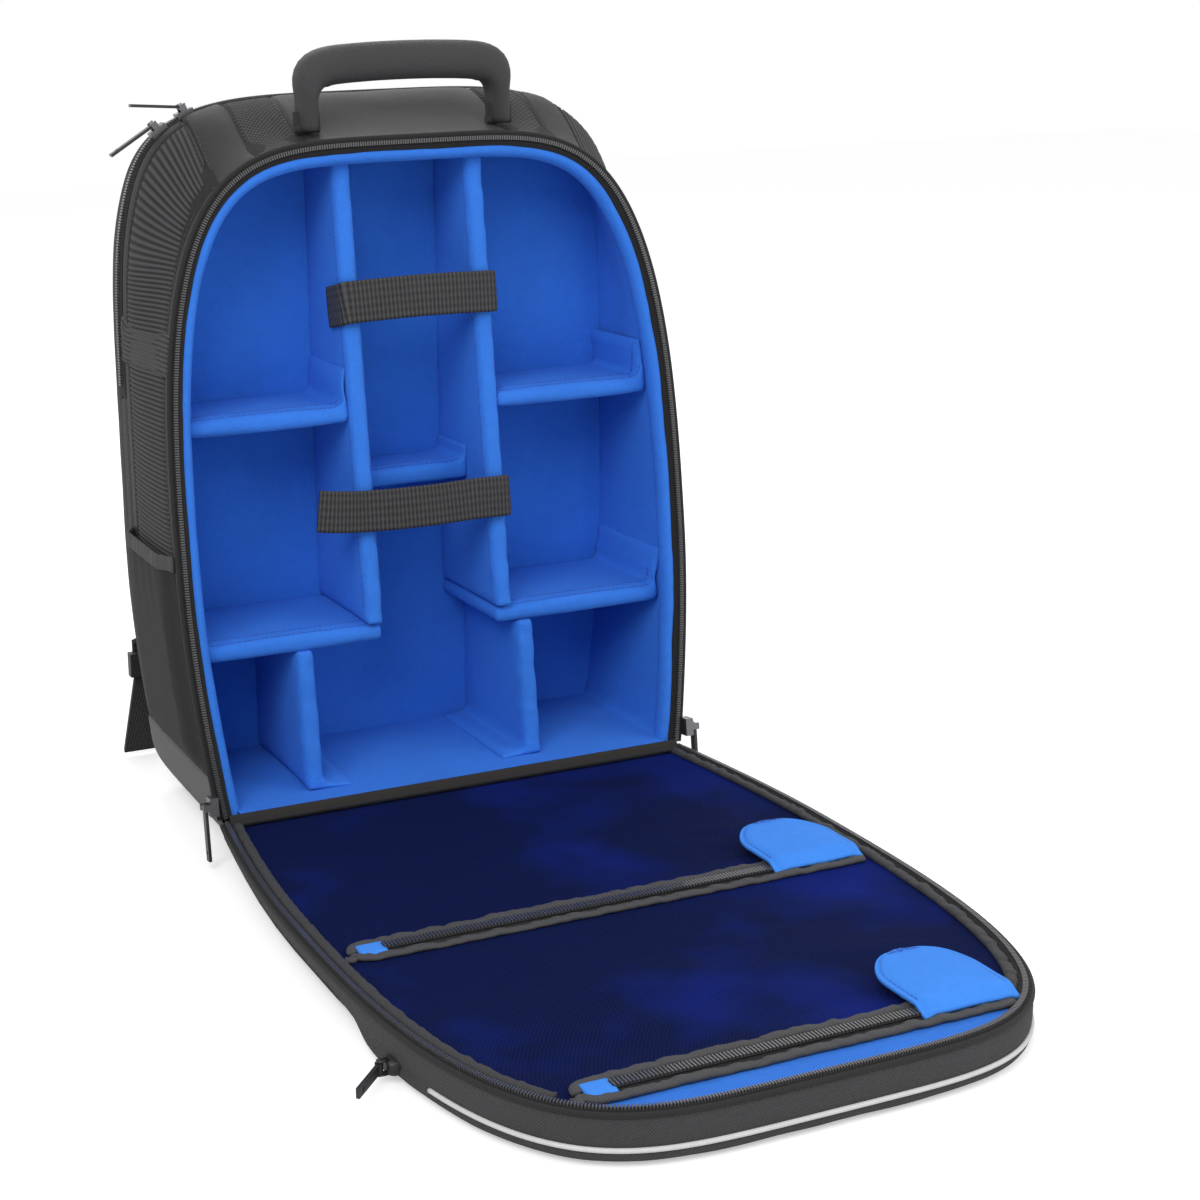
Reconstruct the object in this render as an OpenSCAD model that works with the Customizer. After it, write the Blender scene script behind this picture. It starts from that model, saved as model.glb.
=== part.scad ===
// Camera backpack with a padded bay behind a front flap that folds down to the floor.
// Right is +X, the back (worn side) is +Y and up is +Z; the origin is the middle of the base.

/* [Bag] */
// Widest outer width
bag_w = 330; // [320:1:345]
// Outer width at the foot of the front opening
foot_w = 307; // [296:1:312]
// Depth of the body at its base
bag_d = 150; // [144:1:165]
// Length of the front opening, measured up its slope
opening_l = 388; // [378:1:400]
// Lean of the front opening, in degrees
front_lean = 7; // [5:0.5:8]
// Radius of the lower side corners
corner_r = 40; // [34:1:46]
// Stretch of the sides that widens upward
side_rise = 143; // [135:1:155]
// Squareness of the arch across the bag
arch_across = 4.56; // [4:0.02:5]
// Squareness of the arch up the bag
arch_up = 2.87; // [2.6:0.01:3.1]
// Rise of the top at the back above the top of the opening
top_swell = 22; // [16:1:24]
// Squareness of the back's arch up the bag
back_up = 6.5; // [5:0.1:7]
// Height of the coated base
tub_h = 40; // [38:1:44]

/* [Walls] */
// Outer cloth
cloth_t = 1.6; // [1.2:0.1:2]
// Foam of the body walls
foam_t = 6; // [4:0.5:7]
// Blue lining
lining_t = 2; // [1:0.5:2.5]
// Padded wall of the laptop sleeve
sleeve_wall_t = 6; // [4:0.5:8]
// Space of the laptop sleeve
sleeve_gap = 25; // [20:1:28]
// Back panel
back_t = 8; // [6:0.5:10]
// Pads on the back panel
pad_t = 12; // [8:1:14]

/* [Front flap] */
// Depth of the flap
flap_d = 28; // [27:0.5:30]
// Wall of the flap
flap_wall_t = 4; // [3:0.5:5]
// Outer panels of the flap
panel_t = 2; // [1.5:0.1:2.5]
// Space of the front pocket
front_pocket_gap = 7; // [6:0.5:7.5]
// Padded board inside the flap
board_t = 6; // [5:0.5:7]
// Mesh of the inner pockets
mesh_t = 1.5; // [1:0.1:1.8]
// Distance from the hinge to the zip of the near mesh pocket
near_zip_s = 190; // [180:1:200]
// Distance of the far mesh pocket's zip from the far end
far_zip_set = 31; // [28:1:36]
// Length of the mesh pocket zips
mesh_zip_l = [284, 208]; // [200:1:284]
// Height of the seam between the two outer panels, at the middle
seam_s = 320; // [312:1:328]
// Radius of that seam
seam_r = 391; // [370:1:420]

/* [Zips] */
// Half of the gap that the main zip closes
zip_half_gap = 2; // [1.8:0.1:2.2]
// Width of the zip tape on the flap
tape_w = 11; // [10:0.5:13]
// Thickness of zip tape
tape_t = 1.5; // [1:0.1:1.6]
// Width of a row of teeth
teeth_w = 3; // [2:0.5:4]
// Length of the front zip's puller
puller_l = 25; // [20:1:26]
// Length of the main and the sleeve zips' pullers
main_puller_l = 32; // [26:1:33]
// Distance of the sleeve zip in front of the back
sleeve_zip_set = 26; // [24:1:30]
// Height at which the sleeve zip ends
sleeve_zip_end = 192; // [185:1:200]

/* [Dividers] */
// Thickness of a divider
divider_t = 10; // [8:0.5:11]
// Middle of each upright, off the centre line
upright_x = 43; // [40:1:47]
// Front edge of the uprights behind the opening
upright_set = 12; // [10:1:14]
// Front edge of shelves and posts behind the opening
shelf_set = 15; // [14:1:18]
// Height of the upper shelves
upper_shelf_z = 252; // [245:1:260]
// Height of the lower shelves
lower_shelf_z = 120; // [115:1:126]
// Height of the centre shelf
centre_shelf_z = 206; // [200:1:212]
// Depth of the centre shelf
centre_shelf_d = 46; // [40:1:50]
// Place of the left and the right post
post_x = [-88, 58]; // [-95:1:70]
// Height of an end tab
tab_h = 24; // [18:1:28]
// Thickness of an end tab
tab_t = 3; // [2:0.5:4]
// Running clearance of dividers and straps
clearance = 0.3; // [0.3:0.05:0.5]

/* [Webbing] */
// Width of webbing
webbing_w = 25; // [22:1:28]
// Thickness of webbing
webbing_t = 2.4; // [1.8:0.1:2.6]
// Distance up the opening of each gear strap
gear_strap_s = [294, 169]; // [160:1:300]
// Reach of the lower gear strap's free end beyond its upright
gear_tab_l = 26; // [20:1:30]

/* [Handle] */
// Outer width of the handle
handle_w = 142; // [136:1:150]
// Rise of the handle above the top
handle_rise = 55; // [50:1:62]
// Middle of the handle behind the top of the front opening
handle_set = 16; // [14:1:40]
// Diameter of the grip
grip_d = 24; // [20:1:26]
// Diameter of the legs
leg_d = 18; // [15:1:20]
// Radius of the handle's corners
handle_bend = 20; // [18:1:24]

/* [Shoulder straps] */
// Thickness of a padded strap
strap_t = 12; // [9:1:14]
// Width of a padded strap
strap_w = 62; // [56:1:66]
// Bow of a strap away from the back
strap_bow = 22; // [16:1:26]
// Height of the upper and the lower end of a strap
strap_z = [392, 104]; // [100:1:395]
// Distance off the centre line of the upper and the lower end
strap_x = [54, 112]; // [50:1:116]

/* [Side pockets] */
// Room of a side pocket
pocket_gap = 6; // [5.5:0.5:7]
// Stretch cloth of a side pocket
pocket_t = 1.5; // [1:0.1:2]
// Height of the pocket mouth
pocket_top = 178; // [170:1:184]
// Height of the pocket's binding
binding_h = 9; // [7:1:12]

/* [Hidden] */
$fn = 64;
far = 800;
grey = "#4a4d50";
black = "#1b1b1d";
charcoal = "#2c2d30";
blue = "#3f78d8";

// Main places
hinge_y = -bag_d / 2;
hinge_z = flap_d;
back_y = bag_d / 2;
wide_half = bag_w / 2;
foot_half = foot_w / 2;
rise = cos(front_lean);
top_z = hinge_z + opening_l * rise;
top_y = hinge_y + opening_l * sin(front_lean);
back_long = opening_l + top_swell / rise;
sleeve_tape_w = 12;
side_back_y = back_y - sleeve_zip_set - sleeve_tape_w / 2;
shell_in = cloth_t + foam_t;
bay_in = shell_in + lining_t;
sleeve_back = back_y - back_t;
sleeve_front = sleeve_back - sleeve_gap;
bay_back = sleeve_front - sleeve_wall_t - lining_t;
pad_y = back_y + pad_t;
tape_d = zip_half_gap + tape_t;
sill_set = 3.5;
sill_gap = 1.2;
hinge_roll_r = 1.6;
floor_z = hinge_z + hinge_roll_r + clearance;

// Outline: half the width at a distance s up the opening
function side_half(s) = foot_half + (wide_half - foot_half) * sin(90 * min(1, s / side_rise));
far_zip_s = opening_l - far_zip_set;
corner_s = (corner_r - hinge_z) / rise;
corner_x = side_half(corner_s) - corner_r;
hinge_half = corner_x + sqrt(pow(corner_r, 2) - pow(corner_r - hinge_z, 2));

function lower_corner(inset) = [for (a = [-90 : 15 : 0])
  [corner_x + (corner_r - inset) * cos(a), corner_r + (corner_r - inset) * sin(a)]];

function side_run(inset) = [for (k = [1 : 3])
  let (s = corner_s + (side_rise - corner_s) * k / 4) [side_half(s) - inset, s]];

function arch(inset, long, up) = [for (a = [0 : 7.5 : 90])
  [(wide_half - inset) * pow(cos(a), 2 / arch_across),
   side_rise + (long - inset - side_rise) * pow(sin(a), 2 / up)]];

function half_above(inset, long = opening_l, up = arch_up) = concat(side_run(inset), arch(inset, long, up));

function standing(line) = [for (p = line) [p.x, hinge_z + p.y * rise]];

function both_halves(right) = concat(right,
  [for (k = [len(right) - 1 : -1 : 0]) if (right[k].x > 0.001) [-right[k].x, right[k].y]]);

function body_outline(inset, long, up) = both_halves(concat(lower_corner(inset),
  standing(half_above(inset, long, up))));

function arch_outline(inset, long, up) = both_halves(standing(arch(inset, long, up)));

function opening_outline(inset, foot) = both_halves(concat(
  [[hinge_half - inset, foot], [side_half(corner_s) - inset, max(corner_s, foot + 1)]],
  half_above(inset)));

// Frames and stock shapes
module rim_frame() {
  translate([0, hinge_y, hinge_z]) rotate([-front_lean, 0, 0]) children();
}

module block(low, high) {
  translate(low) cube(high - low);
}

module plate(outline, y0, y1) {
  translate([0, y1, 0]) rotate([90, 0, 0]) linear_extrude(y1 - y0) polygon(outline);
}

module body_plate(inset, y0, y1) {
  plate(body_outline(inset, opening_l, arch_up), y0, y1);
}

module back_plate(inset, y0, y1) {
  plate(body_outline(inset, back_long, back_up), y0, y1);
}

// The body in front of the sleeve zip: its arch swells from the opening to the back
module bag_form(inset) {
  body_plate(inset, hinge_y, side_back_y);
  hull() {
    plate(arch_outline(inset, opening_l, arch_up), top_y - 1, top_y);
    plate(arch_outline(inset, back_long, back_up), side_back_y - 1, side_back_y);
  }
}

module bag_hollow(inset) {
  bag_form(inset);
  back_plate(inset, side_back_y, back_y);
}

module rim_plate(inset, foot, d0, d1) {
  rim_frame()
    translate([0, d1, 0]) rotate([90, 0, 0])
      linear_extrude(d1 - d0) polygon(opening_outline(inset, foot));
}

module flap_plate(inset, foot, z0, z1) {
  translate([0, hinge_y, z0])
    linear_extrude(z1 - z0) mirror([0, 1]) polygon(opening_outline(inset, foot));
}

module front_space(depth) {
  rim_frame() block([-far, depth - far, -4], [far, depth, far]);
  block([-far, -far, -1], [far, hinge_y + sill_set, hinge_z - sill_gap]);
}

module front_ring(outer, inner) {
  difference() {
    bag_form(outer);
    bag_hollow(inner);
    front_space(tape_d);
  }
}

module back_ring(outer, inner, y0, y1) {
  difference() {
    back_plate(outer, y0, y1);
    back_plate(inner, y0 - 1, y1 + 1);
  }
}

module side_part(z0, z1, x0 = 0) {
  intersection() {
    children();
    for (side = [-1, 1]) scale_x(side) block([x0, -far, z0], [far, far, z1]);
  }
}

module scale_x(side) {
  mirror([side < 0 ? 1 : 0, 0, 0]) children();
}

module both_sides() {
  for (side = [-1, 1]) scale_x(side) children();
}

module flap_box(x0, x1, s0, s1, z0, z1) {
  block([x0, hinge_y - s1, z0], [x1, hinge_y - s0, z1]);
}

module strip(from, to, size) {
  hull() {
    translate(from) cube(size, center = true);
    translate(to) cube(size, center = true);
  }
}

// Body
module shell() {
  color(charcoal) {
    difference() {
      union() {
        bag_form(cloth_t);
        back_plate(cloth_t, side_back_y, sleeve_back);
      }
      difference() {
        bag_hollow(shell_in);
        block([-far, -far, -1], [far, hinge_y + sill_set + foam_t, hinge_z - sill_gap]);
      }
      front_space(tape_d);
    }
  }
}

module base_tub() {
  color(grey) {
    difference() {
      body_plate(0, hinge_y, sleeve_back);
      body_plate(cloth_t, hinge_y - 1, sleeve_back + 1);
      front_space(tape_d);
      block([-far, -far, tub_h], [far, far, far]);
    }
  }
}

module floor_pad() {
  color(blue) {
    intersection() {
      body_plate(shell_in, hinge_y + sill_set + foam_t, bay_back + lining_t);
      block([-far, -far, 0], [far, far, floor_z]);
    }
  }
}

patch_z = 345;
top_panel_x = 72;
sleeve_zip_y = back_y - sleeve_zip_set;
gusset_y = sleeve_zip_y + sleeve_tape_w / 2;

module side_panels() {
  color(black) side_part(tub_h, patch_z) front_ring(0, cloth_t);
}

band_z = [284, 309];
band_t = 2;

module side_bands() {
  color(charcoal) side_part(band_z[0], band_z[1]) front_ring(-band_t, 0);
}

module shoulder_patches() {
  color(charcoal) side_part(patch_z, far, top_panel_x) front_ring(0, cloth_t);
}

module top_panel() {
  color(grey) {
    intersection() {
      front_ring(0, cloth_t);
      block([-top_panel_x, -far, patch_z], [top_panel_x, far, far]);
    }
  }
}

module rear_gusset() {
  color(charcoal) {
    side_part(sleeve_zip_end, far) back_ring(0, cloth_t, gusset_y, sleeve_back);
    side_part(tub_h, sleeve_zip_end) back_ring(0, cloth_t, side_back_y, sleeve_back);
  }
}

pocket_out = pocket_gap + pocket_t;
pocket_low = tub_h + 4;
pocket_front_d = 9;

module pocket_block(grow, edge, z0, z1) {
  difference() {
    intersection() {
      body_plate(-grow, hinge_y, side_back_y - edge);
      both_sides() block([corner_x, -far, z0], [far, far, z1]);
    }
    bag_hollow(0);
    front_space(pocket_front_d + edge);
  }
}

module side_pockets() {
  color(black) {
    difference() {
      pocket_block(pocket_out, 0, pocket_low, pocket_top - binding_h);
      pocket_block(pocket_gap, 2 * pocket_t, pocket_low + pocket_t, far);
    }
  }
}

module pocket_bindings() {
  color(grey) {
    difference() {
      pocket_block(pocket_out + 0.5, 0, pocket_top - binding_h, pocket_top);
      pocket_block(pocket_gap, 2 * pocket_t, pocket_low, far);
    }
  }
}

module back_panel() {
  color(black) back_plate(0, sleeve_back, back_y);
}

pad_x = [14, 118];
pad_z = [176, 366];
lumbar_z = [56, 166];
yoke_z = [374, 402];

module back_pads() {
  color(charcoal) {
    both_sides() block([pad_x[0], back_y, pad_z[0]], [pad_x[1], pad_y, pad_z[1]]);
    block([-pad_x[1], back_y, lumbar_z[0]], [pad_x[1], pad_y, lumbar_z[1]]);
    block([-strap_x[0] - strap_w / 2, back_y, yoke_z[0]], [strap_x[0] + strap_w / 2, pad_y, yoke_z[1]]);
  }
}

wing_x = 138;
wing_t = 3;
wing_z = [44, 104];
wing_reach = 36;
wing_tip = [back_y + wing_reach, 70];
lock_h = 16;
lock_d = 7;

module strap_wings() {
  color(black) {
    both_sides()
      translate([wing_x - wing_t / 2, 0, 0]) rotate([90, 0, 90])
        linear_extrude(wing_t) polygon([
          [back_y, wing_z[0]], [wing_tip.x, wing_tip.y - lock_h / 2],
          [wing_tip.x, wing_tip.y + lock_h / 2], [back_y, wing_z[1]]
        ]);
  }
}

module ladder_locks() {
  color(black) {
    both_sides()
      difference() {
        translate([wing_x, wing_tip.x + lock_d / 2, wing_tip.y])
          cube([webbing_w + 8, lock_d, lock_h], center = true);
        for (z = [-4.5, 4.5])
          translate([wing_x, wing_tip.x + lock_d / 2 + 1.5, wing_tip.y + z])
            cube([webbing_w + 1, lock_d, 5], center = true);
      }
  }
}

module sleeve_wall() {
  color(blue) {
    intersection() {
      bag_form(shell_in);
      block([-far, bay_back + lining_t, 0], [far, sleeve_front, far]);
    }
  }
}

sleeve_teeth_t = 1.2;

module sleeve_zip() {
  color(black) {
    side_part(sleeve_zip_end, far) back_ring(0, cloth_t, side_back_y, gusset_y);
    side_part(sleeve_zip_end + 6, far)
      back_ring(-sleeve_teeth_t, 0, sleeve_zip_y - teeth_w, sleeve_zip_y + teeth_w);
  }
}

module main_zip() {
  color(black) {
    difference() {
      rim_plate(0, 0, zip_half_gap, tape_d);
      rim_plate(bay_in, -1, 0, far);
    }
    difference() {
      rim_plate(1.2, 0, clearance, zip_half_gap);
      rim_plate(1.2 + teeth_w, -1, -1, far);
    }
  }
}

slider_w = 8;
slider_t = 5;
slider_l = 11;
barrel_r = 2;
pin_r = 1;
pin_play = 0.1;
pin_out = slider_t + barrel_r + clearance;
puller_w = 5;
puller_t = 1.8;
main_slider_s = 9.5;
main_slider_x = side_half(main_slider_s + slider_l / 2) + clearance;
sleeve_slider_a = [53, 63.5];
sleeve_puller_lift = [5, 25];

// A slider with the pin of its puller: local +X points off the zip and +Z runs along it
module slider() {
  translate([slider_t / 2, 0, 0]) cube([slider_t, slider_w, slider_l], center = true);
  for (y = [-1, 1])
    block([slider_t, min(y * slider_w / 2, y * (puller_w / 2 + clearance)), -barrel_r],
          [pin_out + barrel_r, max(y * slider_w / 2, y * (puller_w / 2 + clearance)), barrel_r]);
  translate([pin_out, 0, 0]) rotate([90, 0, 0]) cylinder(h = slider_w, r = pin_r, center = true);
}

module puller(length, lift) {
  translate([pin_out, 0, 0]) rotate([0, -lift, 0])
    difference() {
      union() {
        rotate([90, 0, 0]) cylinder(h = puller_w, r = barrel_r, center = true);
        block([-puller_t / 2, -puller_w / 2, -length], [puller_t / 2, puller_w / 2, 0]);
      }
      rotate([90, 0, 0]) cylinder(h = puller_w + 2, r = pin_r + pin_play, center = true);
      translate([0, 0, puller_w - length]) rotate([0, 90, 0]) cylinder(h = 4, r = 1.2, center = true);
    }
}

module main_slider_frame(side) {
  scale_x(side) rim_frame() translate([main_slider_x, 0, main_slider_s]) children();
}

function sleeve_slider_at(a) = [
  (wide_half + sleeve_teeth_t) * pow(cos(a), 2 / arch_across),
  hinge_z + rise * (side_rise + (back_long + sleeve_teeth_t - side_rise) * pow(sin(a), 2 / back_up))
];

module sleeve_slider_frame(k) {
  at = sleeve_slider_at(sleeve_slider_a[k]);
  ahead = sleeve_slider_at(sleeve_slider_a[k] + 4);
  behind = sleeve_slider_at(sleeve_slider_a[k] - 4);
  tilt = atan2(behind.x - ahead.x, ahead.y - behind.y);
  scale_x(-1) translate([at.x, sleeve_zip_y, at.y]) rotate([0, -tilt, 0]) children();
}

module zip_sliders() {
  color("silver") {
    for (side = [-1, 1]) main_slider_frame(side) slider();
    for (k = [0, 1]) sleeve_slider_frame(k) slider();
  }
}

base_strap_x = 0.404 * foot_half;

module base_straps() {
  color(black) {
    for (x = [-base_strap_x, base_strap_x])
      block([x - webbing_w / 2, hinge_y + sill_set - webbing_t, 4],
            [x + webbing_w / 2, hinge_y + sill_set, hinge_z - sill_gap - 1]);
  }
}

module lining() {
  color(blue) {
    difference() {
      bag_form(shell_in);
      bag_hollow(bay_in);
      front_space(tape_d);
      block([-far, -far, -1], [far, far, floor_z]);
      block([-far, bay_back, -1], [far, far, far]);
    }
    intersection() {
      bag_form(shell_in);
      block([-far, bay_back, floor_z], [far, bay_back + lining_t, far]);
    }
  }
}

// Dividers
module bay_part(set, low, high) {
  intersection() {
    difference() {
      children();
      front_space(set);
    }
    block([low.x, -far, low.y], [high.x, bay_back, high.y]);
  }
}

module bay_piece(low, high) {
  bay_part(shelf_set, low, high) body_plate(bay_in + clearance, hinge_y, bay_back);
}

upright_in = upright_x - divider_t / 2;
upright_out = upright_x + divider_t / 2;
shelf_half = divider_t / 2;

module upright(side) {
  color(blue)
    scale_x(side)
      bay_part(upright_set, [upright_in, lower_shelf_z + shelf_half], [upright_out, far]) bag_form(bay_in);
}

module left_upright() {
  upright(-1);
}

module right_upright() {
  upright(1);
}

module shelf(side, z, inner, wall_tab) {
  color(blue)
    scale_x(side) {
      bay_piece([inner, z - shelf_half], [far, z + shelf_half]);
      if (wall_tab)
        difference() {
          bay_piece([upright_out, z + shelf_half - 1], [far, z + shelf_half + tab_h]);
          body_plate(bay_in + clearance + tab_t, hinge_y - 1, back_y);
        }
      else
        bay_piece([inner, z + shelf_half - 1], [inner + tab_t, z + shelf_half + tab_h]);
    }
}

module upper_left_shelf() {
  shelf(-1, upper_shelf_z, upright_out, false);
}

module lower_left_shelf() {
  shelf(-1, lower_shelf_z, upright_in, true);
}

module upper_right_shelf() {
  shelf(1, upper_shelf_z, upright_out, true);
}

module lower_right_shelf() {
  shelf(1, lower_shelf_z, upright_in, true);
}

module centre_shelf() {
  color(blue) {
    block([-upright_in, bay_back - centre_shelf_d, centre_shelf_z - shelf_half],
          [upright_in, bay_back, centre_shelf_z + shelf_half]);
    both_sides()
      block([upright_in - tab_t, bay_back - centre_shelf_d, centre_shelf_z],
            [upright_in, bay_back, centre_shelf_z + shelf_half + tab_h / 2]);
  }
}

module post(x, foot_side) {
  color(blue) {
    bay_piece([x - shelf_half, floor_z], [x + shelf_half, lower_shelf_z - shelf_half]);
    bay_piece([x + (foot_side < 0 ? -tab_h : 0), floor_z], [x + (foot_side < 0 ? 0 : tab_h), floor_z + tab_t]);
  }
}

module left_post() {
  post(post_x[0], 1);
}

module right_post() {
  post(post_x[1], -1);
}

// Gear straps
strap_out = upright_out + clearance + webbing_t;
strap_near = upright_set - clearance - webbing_t;
wrap_l = 20;

module gear_strap(s, left_x) {
  rim_frame()
    block([left_x, strap_near, s - webbing_w / 2],
          [strap_out, upright_set - clearance, s + webbing_w / 2]);
}

module upper_gear_strap() {
  color(black) {
    gear_strap(gear_strap_s[0], -strap_out);
    rim_frame()
      block([-strap_out, strap_near, gear_strap_s[0] - webbing_w / 2],
            [-strap_out + webbing_t, upright_set + wrap_l, gear_strap_s[0] + webbing_w / 2]);
  }
}

module lower_gear_strap() {
  color(black) gear_strap(gear_strap_s[1], -strap_out - gear_tab_l);
}

// Handle
handle_y = top_y + handle_set;
leg_x = handle_w / 2 - leg_d / 2;
grip_z = top_z + handle_rise - grip_d / 2;
front_corner = arch(0, opening_l, arch_up)[11];
back_corner = arch(0, back_long, back_up)[11];
leg_seat_x = leg_x - leg_d / 2 + 1;
front_seat_s = opening_l - (opening_l - front_corner.y) * leg_seat_x / front_corner.x;
back_seat_s = back_long - (back_long - back_corner.y) * leg_seat_x / back_corner.x;
seat_slope = rise * (back_seat_s - front_seat_s) / (side_back_y - 1 - top_y);
roll_r = 2.5;
roll_z = hinge_z + rise * front_seat_s + seat_slope * handle_set
  + (roll_r + clearance) * sqrt(1 + pow(seat_slope, 2));
leg_low = roll_z + 4 * roll_r;

module handle_grip() {
  color(charcoal)
    translate([0, handle_y, 0]) {
      translate([0, 0, grip_z]) rotate([0, 90, 0])
        cylinder(h = 2 * (leg_x - handle_bend), d = grip_d, center = true);
      both_sides() {
        translate([leg_x - handle_bend, 0, grip_z - handle_bend]) rotate([90, 0, 0])
          rotate_extrude(angle = 90) translate([handle_bend, 0]) circle(d = leg_d);
        translate([leg_x, 0, leg_low])
          cylinder(h = grip_z - handle_bend - leg_low, d = leg_d);
      }
    }
}

module handle_tabs() {
  color(black)
    both_sides() {
      translate([leg_x, handle_y, roll_z]) rotate([0, 90, 0])
        cylinder(h = leg_d - 2, r = roll_r, center = true);
      block([leg_seat_x, handle_y - roll_r / 2, roll_z],
            [leg_x + leg_d / 2 - 1, handle_y + roll_r / 2, leg_low]);
    }
}

// Shoulder straps
strap_mid_z = (strap_z[0] + strap_z[1]) / 2;
strap_half_l = (strap_z[0] - strap_z[1]) / 2;
strap_gap = 1;
bow_r = (pow(strap_half_l, 2) + pow(strap_bow, 2)) / (2 * strap_bow);
bow_y = pad_y + strap_gap + strap_bow - bow_r;

function strap_centre(t) = strap_x[0] + (strap_x[1] - strap_x[0]) * (1 - cos(180 * t)) / 2;

function strap_edge(t) = strap_w / 2 * (1 - 0.28 * pow(t, 3));

function strap_point(t, edge) = [
  strap_centre(t) + edge * strap_edge(t),
  strap_z[0] + (strap_z[1] - strap_z[0]) * t
];

module shoulder_strap(side) {
  color(charcoal)
    scale_x(side)
      intersection() {
        translate([0, bow_y, strap_mid_z]) rotate([0, 90, 0])
          difference() {
            cylinder(h = far, r = bow_r + strap_t, $fn = 180);
            translate([0, 0, -1]) cylinder(h = far + 2, r = bow_r, $fn = 180);
          }
        translate([0, far / 2, 0]) rotate([90, 0, 0])
          linear_extrude(far / 2) polygon(concat(
            [for (t = [0 : 0.1 : 1]) strap_point(t, 1)],
            [for (t = [1 : -0.1 : 0]) strap_point(t, -1)]
          ));
      }
}

module left_shoulder_strap() {
  shoulder_strap(-1);
}

module right_shoulder_strap() {
  shoulder_strap(1);
}

strap_end_y = pad_y + strap_gap + strap_t / 2;
web = [webbing_w, webbing_t, webbing_t];
lock_out_y = wing_tip.x + lock_d + clearance + webbing_t / 2;
lock_over_z = wing_tip.y + lock_h / 2 + 6;
lock_under_z = wing_tip.y - lock_h / 2 - 4;
tail_spread = [6, 14];
tail_low = [wing_x + tail_spread.x, lock_out_y + tail_spread.y, 4];
loop_a = 10;
loop_t = 0.5 - (bow_r + strap_t) * sin(loop_a) / (2 * strap_half_l);

module strap_webbing(side) {
  color(black)
    scale_x(side) {
      strip([strap_x[1], strap_end_y, strap_z[1] - webbing_t / 2],
            [wing_x, lock_out_y, lock_over_z], web);
      strip([wing_x, lock_out_y, lock_over_z], [wing_x, lock_out_y, lock_under_z], web);
      strip([wing_x, lock_out_y, lock_under_z], tail_low, web);
      translate([strap_centre(loop_t), bow_y, strap_mid_z]) rotate([loop_a, 0, 0])
        translate([0, bow_r + strap_t + 0.2 + webbing_t / 2, 0])
          cube([strap_w * 0.8, webbing_t, webbing_w], center = true);
    }
}

module left_strap_webbing() {
  strap_webbing(-1);
}

module right_strap_webbing() {
  strap_webbing(1);
}

// Zip pullers
module left_main_puller() {
  color(grey) main_slider_frame(-1) puller(main_puller_l, 0);
}

module right_main_puller() {
  color(grey) main_slider_frame(1) puller(main_puller_l, 0);
}

module upper_sleeve_puller() {
  color(grey) sleeve_slider_frame(1) puller(main_puller_l, sleeve_puller_lift[1]);
}

module lower_sleeve_puller() {
  color(grey) sleeve_slider_frame(0) puller(main_puller_l, sleeve_puller_lift[0]);
}

// Front flap, lying open with its outer face on the floor
flap_foot = 1;
tape_low = hinge_z - tape_d;
tape_top = hinge_z - zip_half_gap;
board_low = panel_t + front_pocket_gap;
board_top = board_low + board_t;
flap_lining_top = board_top + 1.5;
mesh_top = tape_low - 0.5;
mesh_low = mesh_top - mesh_t;
piping_h = 3;
seam_centre_s = seam_s - seam_r;
seam_end_s = seam_centre_s + sqrt(pow(seam_r, 2) - pow(wide_half, 2));

module seam_disc(r, z0, z1) {
  translate([0, hinge_y - seam_centre_s, z0]) cylinder(h = z1 - z0, r = r, $fn = 360);
}

module flap_ring(outer, inner, foot, z0, z1) {
  difference() {
    flap_plate(outer, foot, z0, z1);
    flap_plate(inner, foot + inner - outer, z0 - 1, z1 + 1);
  }
}

module flap_gusset() {
  color(black)
    difference() {
      flap_ring(0, flap_wall_t, flap_foot, panel_t, tape_low);
      flap_box(-far, far, seam_end_s, far, panel_t - 1, panel_t + piping_h);
    }
}

module silver_piping() {
  color("#c9cbcd")
    intersection() {
      flap_ring(0, flap_wall_t, flap_foot, panel_t, panel_t + piping_h);
      flap_box(-far, far, seam_end_s, far, 0, far);
    }
}

module flap_lower_panel() {
  color(charcoal)
    intersection() {
      flap_plate(0, flap_foot, 0, panel_t);
      seam_disc(seam_r - piping_h / 2, -1, panel_t + 1);
    }
}

module flap_upper_panel() {
  color(grey)
    difference() {
      flap_plate(0, flap_foot, 0, panel_t);
      seam_disc(seam_r + piping_h / 2, -1, panel_t + 1);
    }
}

module blue_piping() {
  color("#3aa0dc")
    intersection() {
      flap_plate(0, flap_foot, 0, panel_t);
      difference() {
        seam_disc(seam_r + piping_h / 2, 0, panel_t);
        seam_disc(seam_r - piping_h / 2, -1, panel_t + 1);
      }
    }
}

front_zip_w = 12;
front_puller_lift = 45;
front_slider_s = seam_end_s - front_zip_w;
front_slider_z = panel_t + 6;

function arch_half(s) = wide_half
  * pow(cos(asin(pow((s - side_rise) / (opening_l - side_rise), arch_up / 2))), 2 / arch_across);

module front_slider_frame() {
  translate([-arch_half(front_slider_s - slider_l / 2), hinge_y - front_slider_s, front_slider_z])
    rotate([0, 180, 0]) rotate([-90, 0, 0]) children();
}

module front_zip() {
  color(black) {
    intersection() {
      flap_plate(flap_wall_t, flap_foot + flap_wall_t, panel_t, panel_t + tape_t);
      difference() {
        seam_disc(seam_r - piping_h, 0, far);
        seam_disc(seam_r - piping_h - front_zip_w, -1, far + 1);
      }
    }
    front_slider_frame() slider();
  }
}

module front_puller() {
  color(grey) front_slider_frame() puller(puller_l, front_puller_lift);
}

module flap_board() {
  color(charcoal) flap_plate(flap_wall_t, flap_foot + flap_wall_t, board_low, board_top);
}

module flap_lining() {
  color(blue) flap_plate(flap_wall_t, flap_foot + flap_wall_t, board_top, flap_lining_top);
}

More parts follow.
